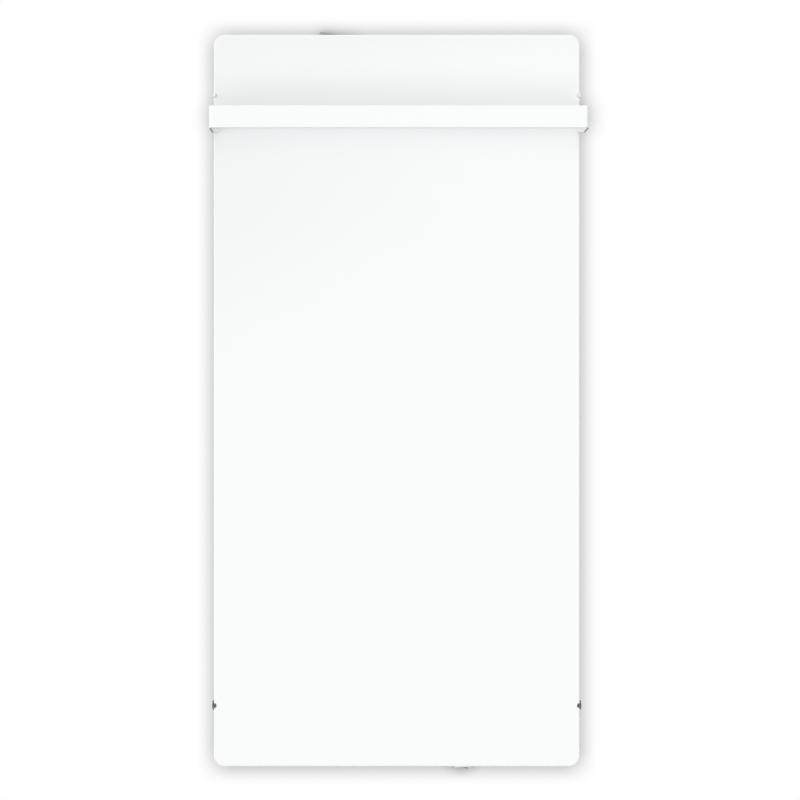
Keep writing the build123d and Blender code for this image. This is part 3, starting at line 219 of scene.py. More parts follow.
wall = stage_plane(
    "wall",
    [
        (-room_half_width, wall_behind, -room_half_width),
        (room_half_width, wall_behind, -room_half_width),
        (room_half_width, wall_behind, room_half_width),
        (-room_half_width, wall_behind, room_half_width),
    ],
)
wall.data.materials.append(stage_paint("wall_paint", wall_paint))
floor = stage_plane(
    "floor",
    [
        (-room_half_width, -room_half_width, floor_level),
        (room_half_width, -room_half_width, floor_level),
        (room_half_width, room_half_width, floor_level),
        (-room_half_width, room_half_width, floor_level),
    ],
)
floor.data.materials.append(stage_paint("floor_paint", floor_paint))


# The light
# A pale room without a lamp, whose glow changes with the height of what it shows: a dim
# floor, bright walls ahead, a duller band above them and a bright ceiling. Something darker
# hangs over the camera, and the right side of the room is dim.

# Height in degrees, from 0 straight ahead up or down to 180 behind the wall, and the glow
room_bands = (
    (-180, 0.96),
    (-150, 0.96),
    (-122, 0.10),
    (-60, 0.14),
    (-38, 1.42),
    (-14, 1.45),
    (-3, 1.70),
    (5, 1.66),
    (13, 1.22),
    (26, 1.02),
    (42, 0.76),
    (62, 0.70),
    (84, 1.30),
    (108, 1.20),
    (180, 0.96),
)
room_peak = 1.8
full_turn = 2 * math.pi
right_side_dim = 0.2
right_side = (0.45, 0.90)
patch_dim = 0.12
patch_lean = 0.72
patch_foot = (0.01, 0.19)
patch_top = (0.32, 0.22)
patch_side = (0.26, 0.14)
pure_white = (1.0, 1.0, 1.0, 1.0)

world = bpy.data.worlds.new("pale_room")
bpy.context.scene.world = world
world.use_nodes = True
room = world.node_tree
room.nodes.clear()
way = axes_of(room, "Generated")
ahead = maths(room, "MULTIPLY", way["Y"], -1.0)
rise = maths(room, "ARCTAN2", way["Z"], ahead)
turn_share = maths(room, "MULTIPLY_ADD", rise, 1 / full_turn, 0.5)
bands = add_node(room, "ShaderNodeValToRGB", {"Fac": turn_share})
bands.color_ramp.interpolation = "EASE"
while len(bands.color_ramp.elements) < len(room_bands):
    bands.color_ramp.elements.new(0.5)
for stop, (angle, strength) in zip(bands.color_ramp.elements, room_bands):
    stop.position = angle / 360 + 0.5
    stop.color = (strength / room_peak,) * 3 + (1.0,)
to_right = remap(room, way["X"], *right_side, room_peak, room_peak * right_side_dim)
lean = maths(room, "MULTIPLY_ADD", way["X"], -patch_lean, way["Z"])
above_foot = remap(room, lean, *patch_foot)
under_top = remap(room, way["Z"], *patch_top)
between_sides = remap(room, maths(room, "ABSOLUTE", way["X"]), *patch_side)
in_height = maths(room, "MULTIPLY", above_foot, under_top)
in_patch = maths(room, "MULTIPLY", in_height, between_sides)
kept = maths(room, "MULTIPLY_ADD", in_patch, patch_dim - 1.0, 1.0)
side_glow = maths(room, "MULTIPLY", bands.outputs["Color"], to_right)
room_glow = maths(room, "MULTIPLY", side_glow, kept)
room_light = add_node(room, "ShaderNodeBackground", {"Color": pure_white, "Strength": room_glow})
room_white = add_node(room, "ShaderNodeBackground", {"Color": pure_white, "Strength": 1.0})
path = add_node(room, "ShaderNodeLightPath").outputs
room_shown = maths(room, "MAXIMUM", path["Is Camera Ray"], path["Is Transmission Ray"])
room_sides = {0: room_shown, 1: room_light.outputs[0], 2: room_white.outputs[0]}
room_mix = add_node(room, "ShaderNodeMixShader", room_sides)
add_node(room, "ShaderNodeOutputWorld", {"Surface": room_mix.outputs[0]})


# Front glass
# A 6 mm pane of toughened glass, enamelled white on its back. Its edges are ground and
# polished, so they show the faint green of the glass, and the face is a clear gloss. The
# edges also glow with painted light, which fades out on the left edge.
enamel_white = (0.945, 0.962, 0.962, 1.0)
enamel_back = (0.80, 0.805, 0.80, 1.0)
edge_green = (0.955, 0.985, 0.975, 1.0)
no_painted_light = (0.0, 0.0, 0.0, 1.0)
painted_edge_light = 0.26
face_roughness = 0.045
edge_roughness = 0.16
enamel_roughness = 0.55
smear_roughness = 0.03
smears_per_metre = 7.0
roller_waves_per_metre = 5.0
roller_relief = (0.12, 0.05 * MM)
glass_index = 1.52

# How squarely a face looks along an axis: where the edge finish starts and is complete,
# where the painted light on the left edge starts and is complete, and past which a face is square on
edge_turn = (0.875, 0.25)
left_edge_light_turn = (-0.9, -0.3)
square_on = 0.9


def surface(name):
    """A new material, with its node tree and its Principled shader."""
    finish = bpy.data.materials.new(name)
    finish.use_nodes = True
    tree = finish.node_tree
    return finish, tree, tree.nodes["Principled BSDF"]


def blend_colour(tree, share, first, second):
    """A mix of two colours by a share from 0 to 1."""
    node = add_node(tree, "ShaderNodeMix", {0: share, 6: first, 7: second}, data_type="RGBA")
    return node.outputs[2]


def spread_over(tree, share, low, high):
    """A value that goes from low to high as its share goes from 0 to 1."""
    return maths(tree, "MULTIPLY_ADD", share, high - low, low)


def noise(tree, scale, detail=2.0, roughness=0.5, stretch=None):
    """Noise from 0 to 1 in the object's own axes, with its scale per metre."""
    where = add_node(tree, "ShaderNodeTexCoord").outputs["Object"]
    if stretch:
        where = add_node(tree, "ShaderNodeMapping", {"Vector": where, "Scale": stretch}).outputs[0]
    sockets = {"Vector": where, "Scale": scale, "Detail": detail, "Roughness": roughness}
    return add_node(tree, "ShaderNodeTexNoise", sockets).outputs["Fac"]


def bump_into(tree, shader, height, relief):
    """A fine relief on a shader, given as its strength and its depth."""
    strength, depth = relief
    sockets = {"Height": height, "Strength": strength, "Distance": depth}
    bump = add_node(tree, "ShaderNodeBump", sockets)
    tree.links.new(bump.outputs["Normal"], shader.inputs["Normal"])


def assign(names, finish):
    """Give CAD pieces their finish, in every slot they have."""
    for name in names:
        slots = parts[name].data.materials
        if not slots:
            slots.append(finish)
        for index in range(len(slots)):
            slots[index] = finish


glass_finish, tree, shader = surface("white_glass")
facing = axes_of(tree, "Normal")
edge_mask = remap(tree, maths(tree, "ABSOLUTE", facing["Y"]), *edge_turn)
back_mask = maths(tree, "GREATER_THAN", facing["Y"], square_on)
face_colour = blend_colour(tree, edge_mask, enamel_white, edge_green)
shell_colour = blend_colour(tree, back_mask, face_colour, enamel_back)
tree.links.new(shell_colour, shader.inputs["Base Color"])
not_back = maths(tree, "SUBTRACT", 1.0, back_mask)
# Painted light: the edges glow faintly green, with the glow fading out on the left edge.
painted_light_off_left = remap(tree, facing["X"], *left_edge_light_turn)
edge_light_mask = maths(tree, "MULTIPLY", maths(tree, "MULTIPLY", edge_mask, not_back), painted_light_off_left)
tree.links.new(blend_colour(tree, edge_light_mask, no_painted_light, edge_green), shader.inputs["Emission Color"])
shader.inputs["Emission Strength"].default_value = painted_edge_light
smears = noise(tree, smears_per_metre, detail=5.0, roughness=0.6)
half_smear = smear_roughness / 2
smeared = spread_over(tree, smears, face_roughness - half_smear, face_roughness + half_smear)
with_edges = maths(tree, "MULTIPLY_ADD", edge_mask, edge_roughness - face_roughness, smeared)
with_back = maths(tree, "MULTIPLY_ADD", back_mask, enamel_roughness - face_roughness, with_edges)
tree.links.new(with_back, shader.inputs["Roughness"])
shader.inputs["IOR"].default_value = glass_index
bump_into(tree, shader, noise(tree, roller_waves_per_metre, detail=1.0), roller_relief)
assign(["front_glass"], glass_finish)


# Silicone bond and foot pads
# A flat bead of translucent white silicone between the tray's lip and the glass, laid by
# a nozzle and pressed out when the pane goes on. The towel bar's feet have pads of it.
silicone_white = (0.82, 0.83, 0.82, 1.0)
silicone_roughness = (0.28, 0.48)
silicone_glow = 0.15
silicone_glow_depth = 2 * MM
ripples_per_metre = 260.0
ripple_relief = (0.4, 0.15 * MM)

silicone_finish, tree, shader = surface("silicone")
ripples = noise(tree, ripples_per_metre)
shader.inputs["Base Color"].default_value = silicone_white
shader.inputs["Subsurface Weight"].default_value = silicone_glow
shader.inputs["Subsurface Radius"].default_value = (silicone_glow_depth,) * 3
tree.links.new(spread_over(tree, ripples, *silicone_roughness), shader.inputs["Roughness"])
bump_into(tree, shader, ripples, ripple_relief)
assign(["glass_bond", "foot_pad_left", "foot_pad_right"], silicone_finish)


# Heating film, bus bars and heat spreader
# A polyester film printed with carbon tracks, two copper strips that feed them, and a
# sheet of soft aluminium that evens out the heat. They are laid up flat behind the pane.
track_pitch = 11.0 * MM
track_share = 0.72
carbon_black = (0.035, 0.035, 0.04, 1.0)
film_amber = (0.32, 0.20, 0.07, 1.0)
film_roughness = (0.25, 0.55)
copper_red = (0.80, 0.42, 0.26, 1.0)
copper_brown = (0.42, 0.24, 0.15, 1.0)
copper_roughness = (0.20, 0.45)
tarnish_per_metre = 55.0
tarnish_share = 0.5
foil_grey = (0.83, 0.84, 0.85, 1.0)
foil_roughness = (0.22, 0.47)
foil_streaks_per_metre = (900.0, 900.0, 12.0)
foil_creases_per_metre = 30.0
foil_relief = (0.3, 0.3 * MM)

film_finish, tree, shader = surface("heating_film")
rows = maths(tree, "MULTIPLY", axes_of(tree, "Object")["Z"], 1 / track_pitch)
track_mask = maths(tree, "LESS_THAN", maths(tree, "FRACT", rows), track_share)
film_colour = blend_colour(tree, track_mask, film_amber, carbon_black)
tree.links.new(film_colour, shader.inputs["Base Color"])
tree.links.new(spread_over(tree, track_mask, *film_roughness), shader.inputs["Roughness"])
assign(["heating_film"], film_finish)

copper_finish, tree, shader = surface("rolled_copper")
tarnish = noise(tree, tarnish_per_metre, detail=4.0)
browned = maths(tree, "MULTIPLY", tarnish, tarnish_share)
copper_colour = blend_colour(tree, browned, copper_red, copper_brown)
tree.links.new(copper_colour, shader.inputs["Base Color"])
shader.inputs["Metallic"].default_value = 1.0
tree.links.new(spread_over(tree, tarnish, *copper_roughness), shader.inputs["Roughness"])
assign(["bus_bars", "switch_terminals", "earth_stud", "earth_nut"], copper_finish)

foil_finish, tree, shader = surface("soft_aluminium")
streaks = noise(tree, 1.0, detail=3.0, stretch=foil_streaks_per_metre)
shader.inputs["Base Color"].default_value = foil_grey
shader.inputs["Metallic"].default_value = 1.0
tree.links.new(spread_over(tree, streaks, *foil_roughness), shader.inputs["Roughness"])
bump_into(tree, shader, noise(tree, foil_creases_per_metre, detail=3.0), foil_relief)
assign(["heat_spreader", "overheat_cutouts"], foil_finish)


# Insulation board
# Pressed mineral fibre, cut out round the cut-outs, the probe and the taps. It fills the
# tray behind the spreader, so that the heat leaves by the glass.
fibre_straw = (0.66, 0.60, 0.44, 1.0)
fibre_pale = (0.80, 0.77, 0.66, 1.0)
fibre_roughness = 0.95
fibre_sheen = 0.2
fibre_clumps_per_metre = 90.0
fibres_per_metre = (1400.0, 500.0, 160.0)
fibre_relief = (0.8, 0.5 * MM)

fibre_finish, tree, shader = surface("mineral_fibre")
clumps = noise(tree, fibre_clumps_per_metre, detail=6.0, roughness=0.65)
fibres = noise(tree, 1.0, detail=4.0, roughness=0.7, stretch=fibres_per_metre)
tree.links.new(blend_colour(tree, clumps, fibre_straw, fibre_pale), shader.inputs["Base Color"])
shader.inputs["Roughness"].default_value = fibre_roughness
shader.inputs["Sheen Weight"].default_value = fibre_sheen
bump_into(tree, shader, maths(tree, "ADD", clumps, fibres), fibre_relief)
assign(["insulation_board"], fibre_finish)


# Rear tray, towel bar and its brackets
# Folded and bent steel, powder coated white. The coat is satin with a fine orange peel. The
# towel bar's faces that look down are painted near black, as painted shade.
bar_white = (0.975, 0.985, 0.985, 1.0)
bar_roughness = 0.30
bar_peel = 1.4
tray_white = (0.88, 0.885, 0.885, 1.0)
tray_roughness = 0.42
tray_peel = 2.0
underside_painted_shade = (0.075, 0.075, 0.08, 1.0)
underside_shade_turn = (-0.7, -0.95)
peel_relief = (0.25, 0.05 * MM)
gloss_patches_per_metre = 9.0


def finish_group(name, inputs):
    """A node group with named number inputs that puts out a Roughness and a Height."""
    group = bpy.data.node_groups.new(name, "ShaderNodeTree")
    for label, start in inputs:
        socket = group.interface.new_socket(label, in_out="INPUT", socket_type="NodeSocketFloat")
        socket.default_value = start
    for label in ("Roughness", "Height"):
        group.interface.new_socket(label, in_out="OUTPUT", socket_type="NodeSocketFloat")
    given = group.nodes.new("NodeGroupInput").outputs
    made = group.nodes.new("NodeGroupOutput").inputs
    return group, given, made


def powder_coat_group():
    """Orange peel and slow variation of gloss, shared by the powder coated pieces."""
    labels = (("Peel Size", 1.6), ("Gloss Spread", 0.06), ("Roughness", 0.34))
    group, given, made = finish_group("powder_coat", labels)
    peels_per_metre = maths(group, "DIVIDE", 1 / MM, given["Peel Size"])
    patches = noise(group, gloss_patches_per_metre, detail=3.0)
    off_middle = maths(group, "SUBTRACT", patches, 0.5)
    gloss = maths(group, "MULTIPLY", off_middle, given["Gloss Spread"])
    group.links.new(maths(group, "ADD", given["Roughness"], gloss), made["Roughness"])
    group.links.new(noise(group, peels_per_metre, detail=1.5), made["Height"])
    return group


powder_coat = powder_coat_group()


def coated(name, colour, roughness, peel_size, underside=None):
    """Powder coated steel in one colour, with painted shade on faces that look down if given."""
    finish, tree, shader = surface(name)
    coat = {"Peel Size": peel_size, "Roughness": roughness}
    skin = add_node(tree, "ShaderNodeGroup", coat, node_tree=powder_coat)
    shader.inputs["Base Color"].default_value = colour
    tree.links.new(skin.outputs["Roughness"], shader.inputs["Roughness"])
    bump_into(tree, shader, skin.outputs["Height"], peel_relief)
    if underside:
        # Painted shade: faces that look down take the dark colour in place of the white coat.
        downward = remap(tree, axes_of(tree, "Normal")["Z"], *underside_shade_turn)
        tree.links.new(blend_colour(tree, downward, colour, underside), shader.inputs["Base Color"])
    return finish


bracket_coat = coated("bracket_coat", bar_white, bar_roughness, bar_peel)
assign(["towel_bar"], coated("bar_coat", bar_white, bar_roughness, bar_peel, underside_painted_shade))
assign(["bar_bracket_left", "bar_bracket_right"], bracket_coat)
assign(["rear_tray"], coated("tray_coat", tray_white, tray_roughness, tray_peel))


# Hangers, wall frame and locking lever
# Pressed and folded from hot-dip galvanised strip. The zinc keeps its spangle and its
# rolling streaks. The lever is passivated darker.
zinc_light = (0.70, 0.72, 0.73, 1.0)
zinc_dark = (0.54, 0.56, 0.575, 1.0)
lever_light = (0.42, 0.42, 0.415, 1.0)
lever_dark = (0.31, 0.31, 0.305, 1.0)
zinc_metallic = 0.9
zinc_roughness = 0.32
streak_roughness = 0.1
crystal_roughness = 0.18
crystal_tone_share = 0.7
streak_tone_share = 0.3
spangle_size = 9.0 * MM
zinc_streaks_per_metre = (25.0, 700.0, 700.0)
zinc_relief = (0.12, 0.1 * MM)


def zinc(name, light, dark):
    """Galvanised sheet: zinc crystals, each with its own tone and gloss, and rolling streaks."""
    finish, tree, shader = surface(name)
    where = add_node(tree, "ShaderNodeTexCoord").outputs["Object"]
    spangle = {"Vector": where, "Scale": 1 / spangle_size}
    crystals = add_node(tree, "ShaderNodeTexVoronoi", spangle).outputs["Color"]
    crystal = add_node(tree, "ShaderNodeSeparateColor", {"Color": crystals}).outputs
    rolling = noise(tree, 1.0, detail=3.0, stretch=zinc_streaks_per_metre)
    streaks = maths(tree, "MULTIPLY", rolling, streak_tone_share)
    tone = maths(tree, "MULTIPLY_ADD", crystal["Red"], crystal_tone_share, streaks)
    tree.links.new(blend_colour(tree, tone, dark, light), shader.inputs["Base Color"])
    shader.inputs["Metallic"].default_value = zinc_metallic
    streaked = maths(tree, "MULTIPLY_ADD", rolling, streak_roughness, zinc_roughness)
    rough = maths(tree, "MULTIPLY_ADD", crystal["Green"], crystal_roughness, streaked)
    tree.links.new(rough, shader.inputs["Roughness"])
    bump_into(tree, shader, maths(tree, "ADD", crystal["Blue"], rolling), zinc_relief)
    return finish


zinc_pieces = [
    "wall_rail_upper",
    "wall_rail_lower",
    "wall_strut_left",
    "wall_strut_right",
    "hanger_left",
    "hanger_right",
]
assign(zinc_pieces, zinc("galvanised_steel", zinc_light, zinc_dark))
assign(["lock_lever"], zinc("dulled_zinc", lever_light, lever_dark))


# Rivets, screws and studs
# Bright zinc plated steel. The rivets are domed, and clenched over at the back but for the
# wall frame's, which end flush. The screws have a six-lobed recess, and each rivet and screw
# is turned differently in its hole.
plated_bright = (0.77, 0.775, 0.78, 1.0)
plated_roughness = (0.18, 0.38)
wipes_per_metre = 400.0
wipe_relief = (0.15, 0.03 * MM)
ring_points = 24
rivet_head = 1.3 * MM
rivet_shank = 2.0 * MM
dome_turns = (0.0, 0.35, 0.7, 1.05, 1.35, 1.5)
screw_head = 1.8 * MM
cover_screw_head = 1.2 * MM
screw_shank = 1.25 * MM
recess_lobes = 6
lobe_depth = 0.22
sharp_turn = 38

plate_finish, tree, shader = surface("bright_zinc")
wipes = noise(tree, wipes_per_metre, detail=3.0)
shader.inputs["Base Color"].default_value = plated_bright
shader.inputs["Metallic"].default_value = 1.0
tree.links.new(spread_over(tree, wipes, *plated_roughness), shader.inputs["Roughness"])
bump_into(tree, shader, wipes, wipe_relief)
assign(["bar_studs", "lever_pivot", "terminal_screws"], plate_finish)


def solids_of(name):
    """The box of each separate solid in a CAD piece, from the lowest corner up."""
    weld = 1e-6
    shape = bmesh.new()
    shape.from_mesh(parts[name].data)
    bmesh.ops.remove_doubles(shape, verts=shape.verts, dist=weld)
    left = set(shape.verts)
    boxes = []
    while left:
        pile = [left.pop()]
        found = list(pile)
        while pile:
            for edge in pile.pop().link_edges:
                for corner in edge.verts:
                    if corner in left:
                        left.discard(corner)
                        pile.append(corner)
                        found.append(corner)
        low = Vector([min(corner.co[axis] for corner in found) for axis in range(3)])
        high = Vector([max(corner.co[axis] for corner in found) for axis in range(3)])
        boxes.append((low, high))
    shape.free()
    return sorted(boxes, key=lambda box: tuple(round(value, 5) for value in box[0]))


def skin_between(shape, first, second):
    """Four-sided faces between two rings that have the same number of points."""
    for step in range(len(first)):
        after = (step + 1) % len(first)
        shape.faces.new((first[step], first[after], second[after], second[step]))


def finished_mesh(shape, name, sharp_degrees):
    """The built shape as a mesh, faces outward, smooth but for edges that turn more sharply."""
    bmesh.ops.recalc_face_normals(shape, faces=shape.faces)
    mesh = bpy.data.meshes.new(name)
    shape.to_mesh(mesh)
    shape.free()
    mesh.shade_smooth()
    mesh.set_sharp_from_angle(angle=math.radians(sharp_degrees))
    return mesh


def turned_shape(name, rings):
    """A closed turned shape from (height, radius, lobe depth) rings, base first."""
    shape = bmesh.new()
    loops = []
    for height, radius, lobe in rings:
        loop = []
        for step in range(ring_points):
            angle = full_turn * step / ring_points
            reach = radius * (1 - lobe * (0.5 + 0.5 * math.cos(recess_lobes * angle)))
            loop.append(shape.verts.new((reach * math.cos(angle), reach * math.sin(angle), height)))
        loops.append(loop)
    for first, second in zip(loops, loops[1:]):
        skin_between(shape, first, second)
    shape.faces.new(list(reversed(loops[0])))
    shape.faces.new(loops[-1])
    return finished_mesh(shape, name, sharp_turn)


def rivet_shape(name, head_radius, length, tail_height):
    """A domed rivet, head up, whose shank ends flush or in a rolled tail."""
    grip = length - tail_height
    if tail_height:
        tail = [
            (-length, rivet_shank * 0.75, 0),
            (-grip - tail_height * 0.8, rivet_shank * 1.3, 0),
            (-grip, rivet_shank * 1.5, 0),
        ]
    else:
        tail = [(-grip, rivet_shank * 0.92, 0)]
    shank = [(-grip * 0.999, rivet_shank, 0), (0, rivet_shank, 0)]
    dome = [
        (rivet_head * math.sin(turn), head_radius * math.cos(turn) ** 0.8, 0) for turn in dome_turns
    ]
    return turned_shape(name, tail + shank + dome)


def screw_shape(name, head_radius, length, head_height):
    """A pan-head screw, head up, with a six-lobed recess."""
    recess = head_radius * 0.5
    return turned_shape(
        name,
        [
            (-length, screw_shank * 0.4, 0),
            (-length + screw_shank, screw_shank, 0),
            (0, screw_shank, 0),
            (0, head_radius * 0.96, 0),
            (head_height * 0.15, head_radius, 0),
            (head_height * 0.6, head_radius * 0.94, 0),
            (head_height * 0.9, head_radius * 0.75, 0),
            (head_height, recess * 1.12, 0),
            (head_height * 0.97, recess, lobe_depth),
            (head_height * 0.35, recess * 0.94, lobe_depth),
            (head_height * 0.28, recess * 0.3, 0),
        ],
    )


def fastener_tree():
    """Nodes that place one fastener on every point, its axis along the point's own direction."""
    tree = bpy.data.node_groups.new("fasteners_on_points", "GeometryNodeTree")
    face = tree.interface
    face.new_socket("Points", in_out="INPUT", socket_type="NodeSocketGeometry")
    face.new_socket("Fastener", in_out="INPUT", socket_type="NodeSocketObject")
    face.new_socket("Finish", in_out="INPUT", socket_type="NodeSocketMaterial")
    face.new_socket("Turn Seed", in_out="INPUT", socket_type="NodeSocketInt").default_value = 7
    face.new_socket("Fasteners", in_out="OUTPUT", socket_type="NodeSocketGeometry")
    given = tree.nodes.new("NodeGroupInput").outputs
    made = tree.nodes.new("NodeGroupOutput").inputs
    stored = {"Name": "out_axis"}
    axis = add_node(tree, "GeometryNodeInputNamedAttribute", stored, data_type="FLOAT_VECTOR")
    way_out = {"Vector": axis.outputs["Attribute"]}
    aim = add_node(tree, "FunctionNodeAlignRotationToVector", way_out, axis="Z")
    any_turn = {"Seed": given["Turn Seed"], 3: full_turn}
    chance = add_node(tree, "FunctionNodeRandomValue", any_turn, data_type="FLOAT")
    upright = {"Axis": (0, 0, 1), "Angle": chance.outputs[1]}
    spin = add_node(tree, "FunctionNodeAxisAngleToRotation", upright)
    turns = {"Rotation": aim.outputs[0], "Rotate By": spin.outputs[0]}
    turned = add_node(tree, "FunctionNodeRotateRotation", turns, rotation_space="LOCAL")
    shape = add_node(tree, "GeometryNodeObjectInfo", {"Object": given["Fastener"]})
    setting = {
        "Points": given["Points"],
        "Instance": shape.outputs["Geometry"],
        "Rotation": turned.outputs[0],
    }
    standing = add_node(tree, "GeometryNodeInstanceOnPoints", setting)
    real = add_node(tree, "GeometryNodeRealizeInstances", {"Geometry": standing.outputs[0]})
    plated = {"Geometry": real.outputs[0], "Material": given["Finish"]}
    tree.links.new(add_node(tree, "GeometryNodeSetMaterial", plated).outputs[0], made["Fasteners"])
    return tree


place_fasteners = fastener_tree()


def placed(name, shape, spots, axes):
    """A copy of one shape on each spot, its top turned along the axis for that spot."""
    points = bpy.data.meshes.new(name)
    points.from_pydata(spots, [], [])
    stored = points.attributes.new("out_axis", "FLOAT_VECTOR", "POINT")
    for index, axis in enumerate(axes):
        stored.data[index].vector = axis
    pattern = bpy.data.objects.new(name + "_pattern", shape)
    piece = bpy.data.objects.new(name, points)
    bpy.context.scene.collection.objects.link(piece)
    modifier = piece.modifiers.new("place", "NODES")
    modifier.node_group = place_fasteners
    items = place_fasteners.interface.items_tree
    sockets = {item.name: item.identifier for item in items if item.in_out == "INPUT"}
    modifier[sockets["Fastener"]] = pattern
    modifier[sockets["Finish"]] = plate_finish
    modifier[sockets["Turn Seed"]] = len(name)
    graph = bpy.context.evaluated_depsgraph_get()
    solid = bpy.data.meshes.new_from_object(piece.evaluated_get(graph))
    piece.modifiers.clear()
    piece.data = solid
    bpy.data.objects.remove(pattern)
    return piece


def fasteners(name, body, node, axis_of, head_height, make):
    """Detailed fasteners in place of a CAD group, each on its own solid's axis."""
    heads = []
    axes = []
    boxes = solids_of(node)
    for low, high in boxes:
        middle = (low + high) / 2
        axis = axis_of(middle)
        half_length = abs((high - low).dot(axis)) / 2
        heads.append(middle + axis * (half_length - head_height))
        axes.append(axis)
    size = boxes[0][1] - boxes[0][0]
    widths = [span for span, share in zip(size, axes[0]) if abs(share) < 0.5]
    shape = make(name, max(widths) / 2, abs(size.dot(axes[0])) - head_height)
    piece = placed(name, shape, heads, axes)
    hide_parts(node)
    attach(piece, body)


def to_room(middle):
    """Heads that face the room."""
    return Vector((0, -1, 0))


def to_wall(middle):
    """Heads that face the wall."""
    return Vector((0, 1, 0))


def to_side(middle):
    """Heads that face outwards, left or right."""
    return Vector((math.copysign(1, middle.x), 0, 0))


for piece_name, body, node, axis_of, tail_height in (
    ("rivets_frame", "wall_frame", "frame_rivets", to_room, 0.0),
    ("rivets_hangers", "radiator", "hanger_rivets", to_wall, rivet_head),
    ("rivets_brackets", "radiator", "bracket_rivets", to_side, rivet_head),
):
    rivet = partial(rivet_shape, tail_height=tail_height)
    fasteners(piece_name, body, node, axis_of, rivet_head, rivet)
for piece_name, node, axis_of, head_height in (
    ("screws_clips", "clip_screws", to_side, screw_head),
    ("screws_spacers", "spacer_screws", to_wall, screw_head),
    ("screws_housing", "housing_screws", to_wall, screw_head),
    ("screws_cover", "cover_screws", to_wall, cover_screw_head),
):
    screw = partial(screw_shape, head_height=head_height)
    fasteners(piece_name, "radiator", node, axis_of, head_height, screw)


# Clips, spacers, housing and other mouldings
# Injection moulded nylon and ABS, and soft black rubber for the grommet and the seal. The
# tools were spark eroded, which leaves a fine even grain on the outside.
nylon_white = (0.90, 0.90, 0.885, 1.0)
housing_white = (0.80, 0.805, 0.80, 1.0)
lower_clip_shade_grey = (0.105, 0.105, 0.11, 1.0)
nylon_black = (0.022, 0.022, 0.024, 1.0)
rubber_black = (0.018, 0.018, 0.018, 1.0)
nylon_roughness = 0.45
grain_depth = 0.04 * MM
moulding_gloss_spread = 0.1
moulding_patches_per_metre = 60.0


def moulded_grain_group():
    """Spark-eroded grain and slow variation of gloss, shared by the mouldings."""
    labels = (("Grain Size", 0.35), ("Roughness", 0.5))
    group, given, made = finish_group("moulded_grain", labels)
    grains_per_metre = maths(group, "DIVIDE", 1 / MM, given["Grain Size"])
    patches = noise(group, moulding_patches_per_metre)
    raised = maths(group, "MULTIPLY_ADD", patches, moulding_gloss_spread, given["Roughness"])
    centred = maths(group, "SUBTRACT", raised, moulding_gloss_spread / 2)
    group.links.new(centred, made["Roughness"])
    group.links.new(noise(group, grains_per_metre), made["Height"])
    return group


moulded_grain = moulded_grain_group()


def grained(tree, shader, roughness, grain, strength):
    """The moulded grain on a shader, with the grain's size in millimetres."""
    mould = {"Grain Size": grain, "Roughness": roughness}
    skin = add_node(tree, "ShaderNodeGroup", mould, node_tree=moulded_grain)
    tree.links.new(skin.outputs["Roughness"], shader.inputs["Roughness"])
    bump_into(tree, shader, skin.outputs["Height"], (strength, grain_depth))


def moulded(name, colour, roughness=nylon_roughness, grain=0.4, strength=0.35):
    """Moulded plastic or rubber in one colour."""
    finish, tree, shader = surface(name)
    shader.inputs["Base Color"].default_value = colour
    grained(tree, shader, roughness, grain, strength)
    return finish


white_nylon = moulded("white_nylon", nylon_white, roughness=0.42)
lower_clip_painted_shade = moulded("lower_clip_painted_shade", lower_clip_shade_grey)
black_nylon = moulded("black_nylon", nylon_black)
housing_grain = moulded("housing_grain", housing_white, roughness=0.5, grain=0.55, strength=0.5)
black_rubber = moulded("black_rubber", rubber_black, roughness=0.7, grain=0.6)
white_pieces = [
    "glass_clip_upper_left",
    "glass_clip_upper_right",
    "board_connector",
    "terminal_block",
]
black_pieces = [
    "spacer_left",
    "spacer_right",
    "cord_gland",
    "gland_locknut",
    "relay",
    "power_module",
    "temperature_probe",
]
assign(white_pieces, white_nylon)
# Painted shade: the lower clips are the upper clips' copies in dark grey, for the shade in their
# notches.
assign(["glass_clip_lower_left", "glass_clip_lower_right"], lower_clip_painted_shade)
assign(black_pieces, black_nylon)
assign(["control_housing", "control_cover"], housing_grain)
assign(["lead_grommet", "gland_seal"], black_rubber)


# Gland nut
# The dome nut that squeezes the seal round the cord. Black nylon like the gland, with six
# flats for a spanner and a dome ribbed for the fingers.
nut_points = 144
nut_ribs = 24
nut_flat = 7.5
nut_corner = 8.45
nut_bore = 4.3
nut_thread = 6.1
flat_turn = full_turn / 6
nut_sharp_turn = 32

# Rings as (distance out from the housing's end, radius, share of hexagon, rib depth) in mm
nut_outside = (
    (0.0, 7.25, 1.0, 0.0),
    (0.5, nut_flat, 1.0, 0.0),
    (6.1, nut_flat, 1.0, 0.0),
    (6.8, 7.4, 0.4, 0.0),
    (7.1, 7.25, 0.0, 0.0),
    (7.4, 7.3, 0.0, 0.45),
    (8.9, 7.2, 0.0, 0.5),
    (9.9, 6.6, 0.0, 0.4),
    (10.7, 5.6, 0.0, 0.2),
    (11.0, 5.0, 0.0, 0.0),
)
nut_inside = (
    (10.9, 4.5, 0.0, 0.0),
    (10.6, nut_bore, 0.0, 0.0),
    (9.5, nut_bore, 0.0, 0.0),
    (9.5, nut_thread, 0.0, 0.0),
    (0.4, nut_thread, 0.0, 0.0),
    (0.0, 6.5, 0.0, 0.0),
)


